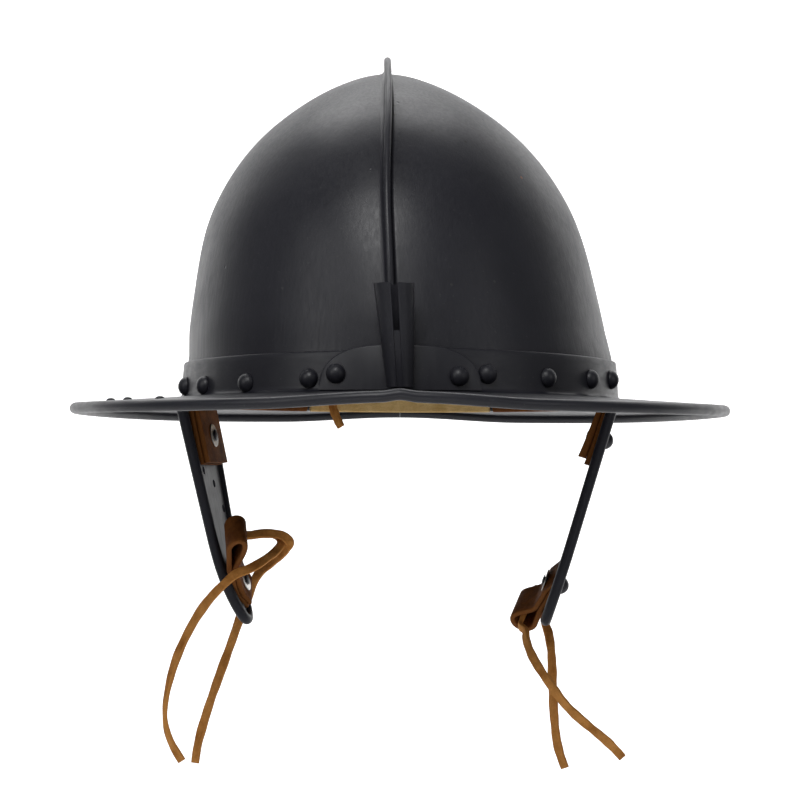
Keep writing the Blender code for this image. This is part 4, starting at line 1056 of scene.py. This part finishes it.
strap_leather = leather(
    "strap_leather", (0.085, 0.026, 0.006), (0.230, 0.080, 0.017), (0.21, 0.078, 0.019), 700.0, 0.75
)
for side in (LEFT, RIGHT):
    strap_name = "hinge_strap_" + SIDE_NAMES[side]
    thickness = STRAP_PLY - PLY_GAP
    outer, outer_sides = strap_ply(side, STRAP_ROOT, STRAP_OUTER_END, 0.0, thickness)
    inner, inner_sides = strap_ply(side, STRAP_ROOT, STRAP_INNER_END[side], STRAP_PLY, thickness)
    half_turn = math.radians(ANCHOR_HALF_TURN_DEG)
    band_turns = np.linspace(math.pi / 2 - half_turn, math.pi / 2 + half_turn, 121)
    band = leather_wall(band_turns, side, LINER_BASE, ANCHOR_TOP, SHEET + LEATHER_GAP, STRAP_PLY)
    points, faces = joined((outer, inner, band), capped_faces)
    strap = new_piece(strap_name + "_fine", points, faces, strap_leather, 60)
    mark_cut_sides(strap, np.concatenate([outer_sides, inner_sides, np.zeros(band.size // 3)]))
    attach(strap, "root")
    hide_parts(strap_name)


# Tab loops: a strip of the same brown leather folded over on itself, riveted near the tip of each cheek
# piece and left open at its fold, where the thong runs through.
TAB_PLY = 0.0026
TAB_WIDTH = 0.0180
TAB_SLANT_DEG = 45
TAB_TAIL = 0.0092
# How far behind the rivet a climbing tail is over the rolled edge, and how much of it the upper ply covers
TAB_TAIL_OVER = 0.0080
TAB_TAIL_SHARE = 0.85
TAB_CORNER = 0.0008
TAB_RIVET_DROP = 0.0807
TAB_SINK = EDGE_ROLL_RADIUS - SHEET / 2 + 0.0002
# reach: from the rivet to the fold. bulge: the fold's height. parting: where the plies part. way: up or down
# the cheek piece. over: where it clears the rolled edge. stand: how far it bends off beyond. skew: how much
# closer its far side lies. tail: whether its tail climbs the rolled edge. skive: how far the tail is pared.
TABS = {
    LEFT: {"reach": 0.0345, "bulge": 0.0108, "parting": 0.0140, "way": 1, "over": 0.016, "stand": 0.0068,
           "skew": 0.0015, "tail": 1.0, "skive": 0.25},
    RIGHT: {"reach": 0.0305, "bulge": 0.0138, "parting": 0.0112, "way": -1, "over": 0.016, "stand": 0.0004,
            "skew": 0.0014, "tail": 0.0, "skive": 0.80},
}


def tab_path(reach, bulge, parting):
    """The strip's middle line: straight out, round the fold, eased back down and on to the other tail."""
    half, upper = bulge / 2, 1.5 * TAB_PLY + PLY_GAP
    lead = np.stack([np.linspace(-TAB_TAIL, reach - half, 24), np.full(24, TAB_PLY / 2)], 1)
    arc = np.linspace(-math.pi / 2, math.pi / 2, 20)[1:]
    round_end = np.stack([
        reach - half + (half - TAB_PLY / 2) * np.cos(arc), half + (half - TAB_PLY / 2) * np.sin(arc)
    ], 1)
    t = np.linspace(0, 1, 16)[1:]
    drop = (1 - np.cos(t * math.pi)) / 2
    back = np.stack([
        reach - half + (parting - reach + half) * t,
        bulge - TAB_PLY / 2 + (upper - bulge + TAB_PLY / 2) * drop,
    ], 1)
    tail = np.stack([
        np.linspace(parting, -TAB_TAIL * TAB_TAIL_SHARE, 14)[1:], np.full(13, upper)
    ], 1)
    return np.concatenate([lead, round_end, back, tail])


def tab_bend(side, along):
    """How far the strip bends off the plate: into its dish at the rivet, over its rolled edge, then free."""
    tab = TABS[side]
    t = np.clip(np.where(along < 0, -tab["tail"] * along / TAB_TAIL_OVER, along / tab["over"]), 0, 1)
    rise = TAB_SINK * (t * t * (3 - 2 * t) - 1)
    t = np.clip((along - tab["over"]) / (tab["reach"] - tab["over"]), 0, 1)
    return rise + tab["stand"] * (t * t * (3 - 2 * t) if tab["stand"] < 0 else t)


def tab_ways(side):
    """Where the rivet meets the tab, and the ways along the loop, off the cheek piece and across."""
    tab, slant = TABS[side], math.radians(TAB_SLANT_DEG)
    middle = tab["way"] * tab["reach"] * math.cos(slant) / 2
    _, across, out, down = (w[0] for w in cheek_frame(side, TAB_RIVET_DROP - middle))
    along = (-down * math.cos(slant) - across * math.sin(slant)) * tab["way"]
    spot = cheek_frame(side, TAB_RIVET_DROP)[0][0]
    return spot - out * (EDGE_ROLL_RADIUS + SEAT_GAP), along, -out, np.cross(along, -out)


for side in (LEFT, RIGHT):
    tab_name = "tab_loop_" + SIDE_NAMES[side]
    tab = TABS[side]
    seat, along, off, across = tab_ways(side)
    line = tab_path(tab["reach"], tab["bulge"], tab["parting"])
    line[:, 1] += tab_bend(side, line[:, 0])
    path = seat + line[:, :1] * along + line[:, 1:] * off
    flow = unit(np.gradient(path, axis=0))
    facing = np.cross(np.broadcast_to(across, flow.shape), flow)
    outline, cut_side = strip_outline(TAB_WIDTH, TAB_PLY, TAB_CORNER, 3)
    body = carried_strip(path, facing, outline)
    far = ((body - seat) @ across + TAB_WIDTH / 2) / TAB_WIDTH
    out_along = np.clip(((body - seat) @ along) / tab["reach"], 0, 1)
    behind = np.clip(-((body - seat) @ along) / TAB_TAIL, 0, 1)
    stood = (body - seat) @ off + TAB_SINK
    drawn_in = tab["skew"] * far * out_along**2 + tab["skive"] * behind * stood
    body = body - drawn_in[..., None] * off
    loop = new_piece(tab_name + "_fine", body, capped_faces(*body.shape[:2]), strap_leather, 60)
    mark_cut_sides(loop, np.tile(cut_side, len(path)))
    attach(loop, "root")
    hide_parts(tab_name)


# Cheek rivets: the same round-headed rivets, beaten down over bright washers on the leather inside.
HINGE_RIVET_DROP = 0.0108
WASHER_RADIUS = 0.0056
WASHER_HEIGHT = 0.0006
WASHER_BEVEL = 0.0002
WASHER_HOLE_RADIUS = RIVET_SHANK_RADIUS + SEAT_GAP
CHEEK_RIVET_HEIGHT = 1.15 * RIVET_HEAD_HEIGHT
washer_steel, steel_tree, steel_shader = new_finish(
    "washer_steel", Base_Color=(0.56, 0.55, 0.53, 1), Metallic=1.0, Roughness=0.3
)
scratch_place = node(steel_tree, "TexCoord").outputs["Object"]
scratches = node(steel_tree, "TexNoise", {"Vector": scratch_place, "Scale": 900.0, "Detail": 5.0})
scratch_bump = node(steel_tree, "Bump", {
    "Height": scratches.outputs["Fac"], "Strength": 0.3, "Distance": 0.0001
})
steel_tree.links.new(scratch_bump.outputs[0], steel_shader.inputs["Normal"])
worn = node(steel_tree, "MapRange", {"Value": scratches.outputs["Fac"], 3: 0.2, 4: 0.5})
steel_tree.links.new(worn.outputs[0], steel_shader.inputs["Roughness"])
washer_face, washer_rim = WASHER_RADIUS - WASHER_BEVEL, WASHER_HEIGHT - WASHER_BEVEL
washer_ring = np.array([
    (WASHER_HOLE_RADIUS, 0), (washer_face, 0), (WASHER_RADIUS, -WASHER_BEVEL), (WASHER_RADIUS, -washer_rim),
    (washer_face, -WASHER_HEIGHT), (WASHER_HOLE_RADIUS, -WASHER_HEIGHT), (WASHER_HOLE_RADIUS, 0),
])
head_bodies, head_nodes, washer_bodies, washer_nodes = [], [], [], []
for side in (LEFT, RIGHT):
    tab_seat = EDGE_ROLL_RADIUS - SHEET / 2 + SEAT_GAP - TAB_SINK
    for kind, drop, lie, plies in (
        ("hinge", HINGE_RIVET_DROP, SEAT_GAP, 2 * STRAP_PLY),
        ("tab", TAB_RIVET_DROP, tab_seat, 2 * TAB_PLY),
    ):
        point, _, out, _ = (w[0] for w in cheek_frame(side, drop))
        washer_seat = SHEET / 2 + lie + plies + PLY_GAP
        grip = SHEET / 2 + washer_seat + WASHER_HEIGHT + SEAT_GAP
        profile = rivet_profile(RIVET_HEAD_RADIUS, CHEEK_RIVET_HEIGHT, grip)
        head_bodies.append(turned_about(profile, point + out * (SHEET / 2 + HEAD_GAP), out))
        head_nodes.append(f"{kind}_rivet_{SIDE_NAMES[side]}")
        washer_bodies.append(turned_about(washer_ring, point - out * washer_seat, out, 40))
        washer_nodes.append(f"{kind}_rivet_{SIDE_NAMES[side]}_washer")
cheek_rivets = new_piece("cheek_rivets", *joined(head_bodies, ring_quads), rivet_paint, 50)
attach(cheek_rivets, "root")
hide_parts(*head_nodes)
washers = new_piece("washers", *joined(washer_bodies, ring_quads), washer_steel, 30)
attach(washers, "root")
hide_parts(*washer_nodes)
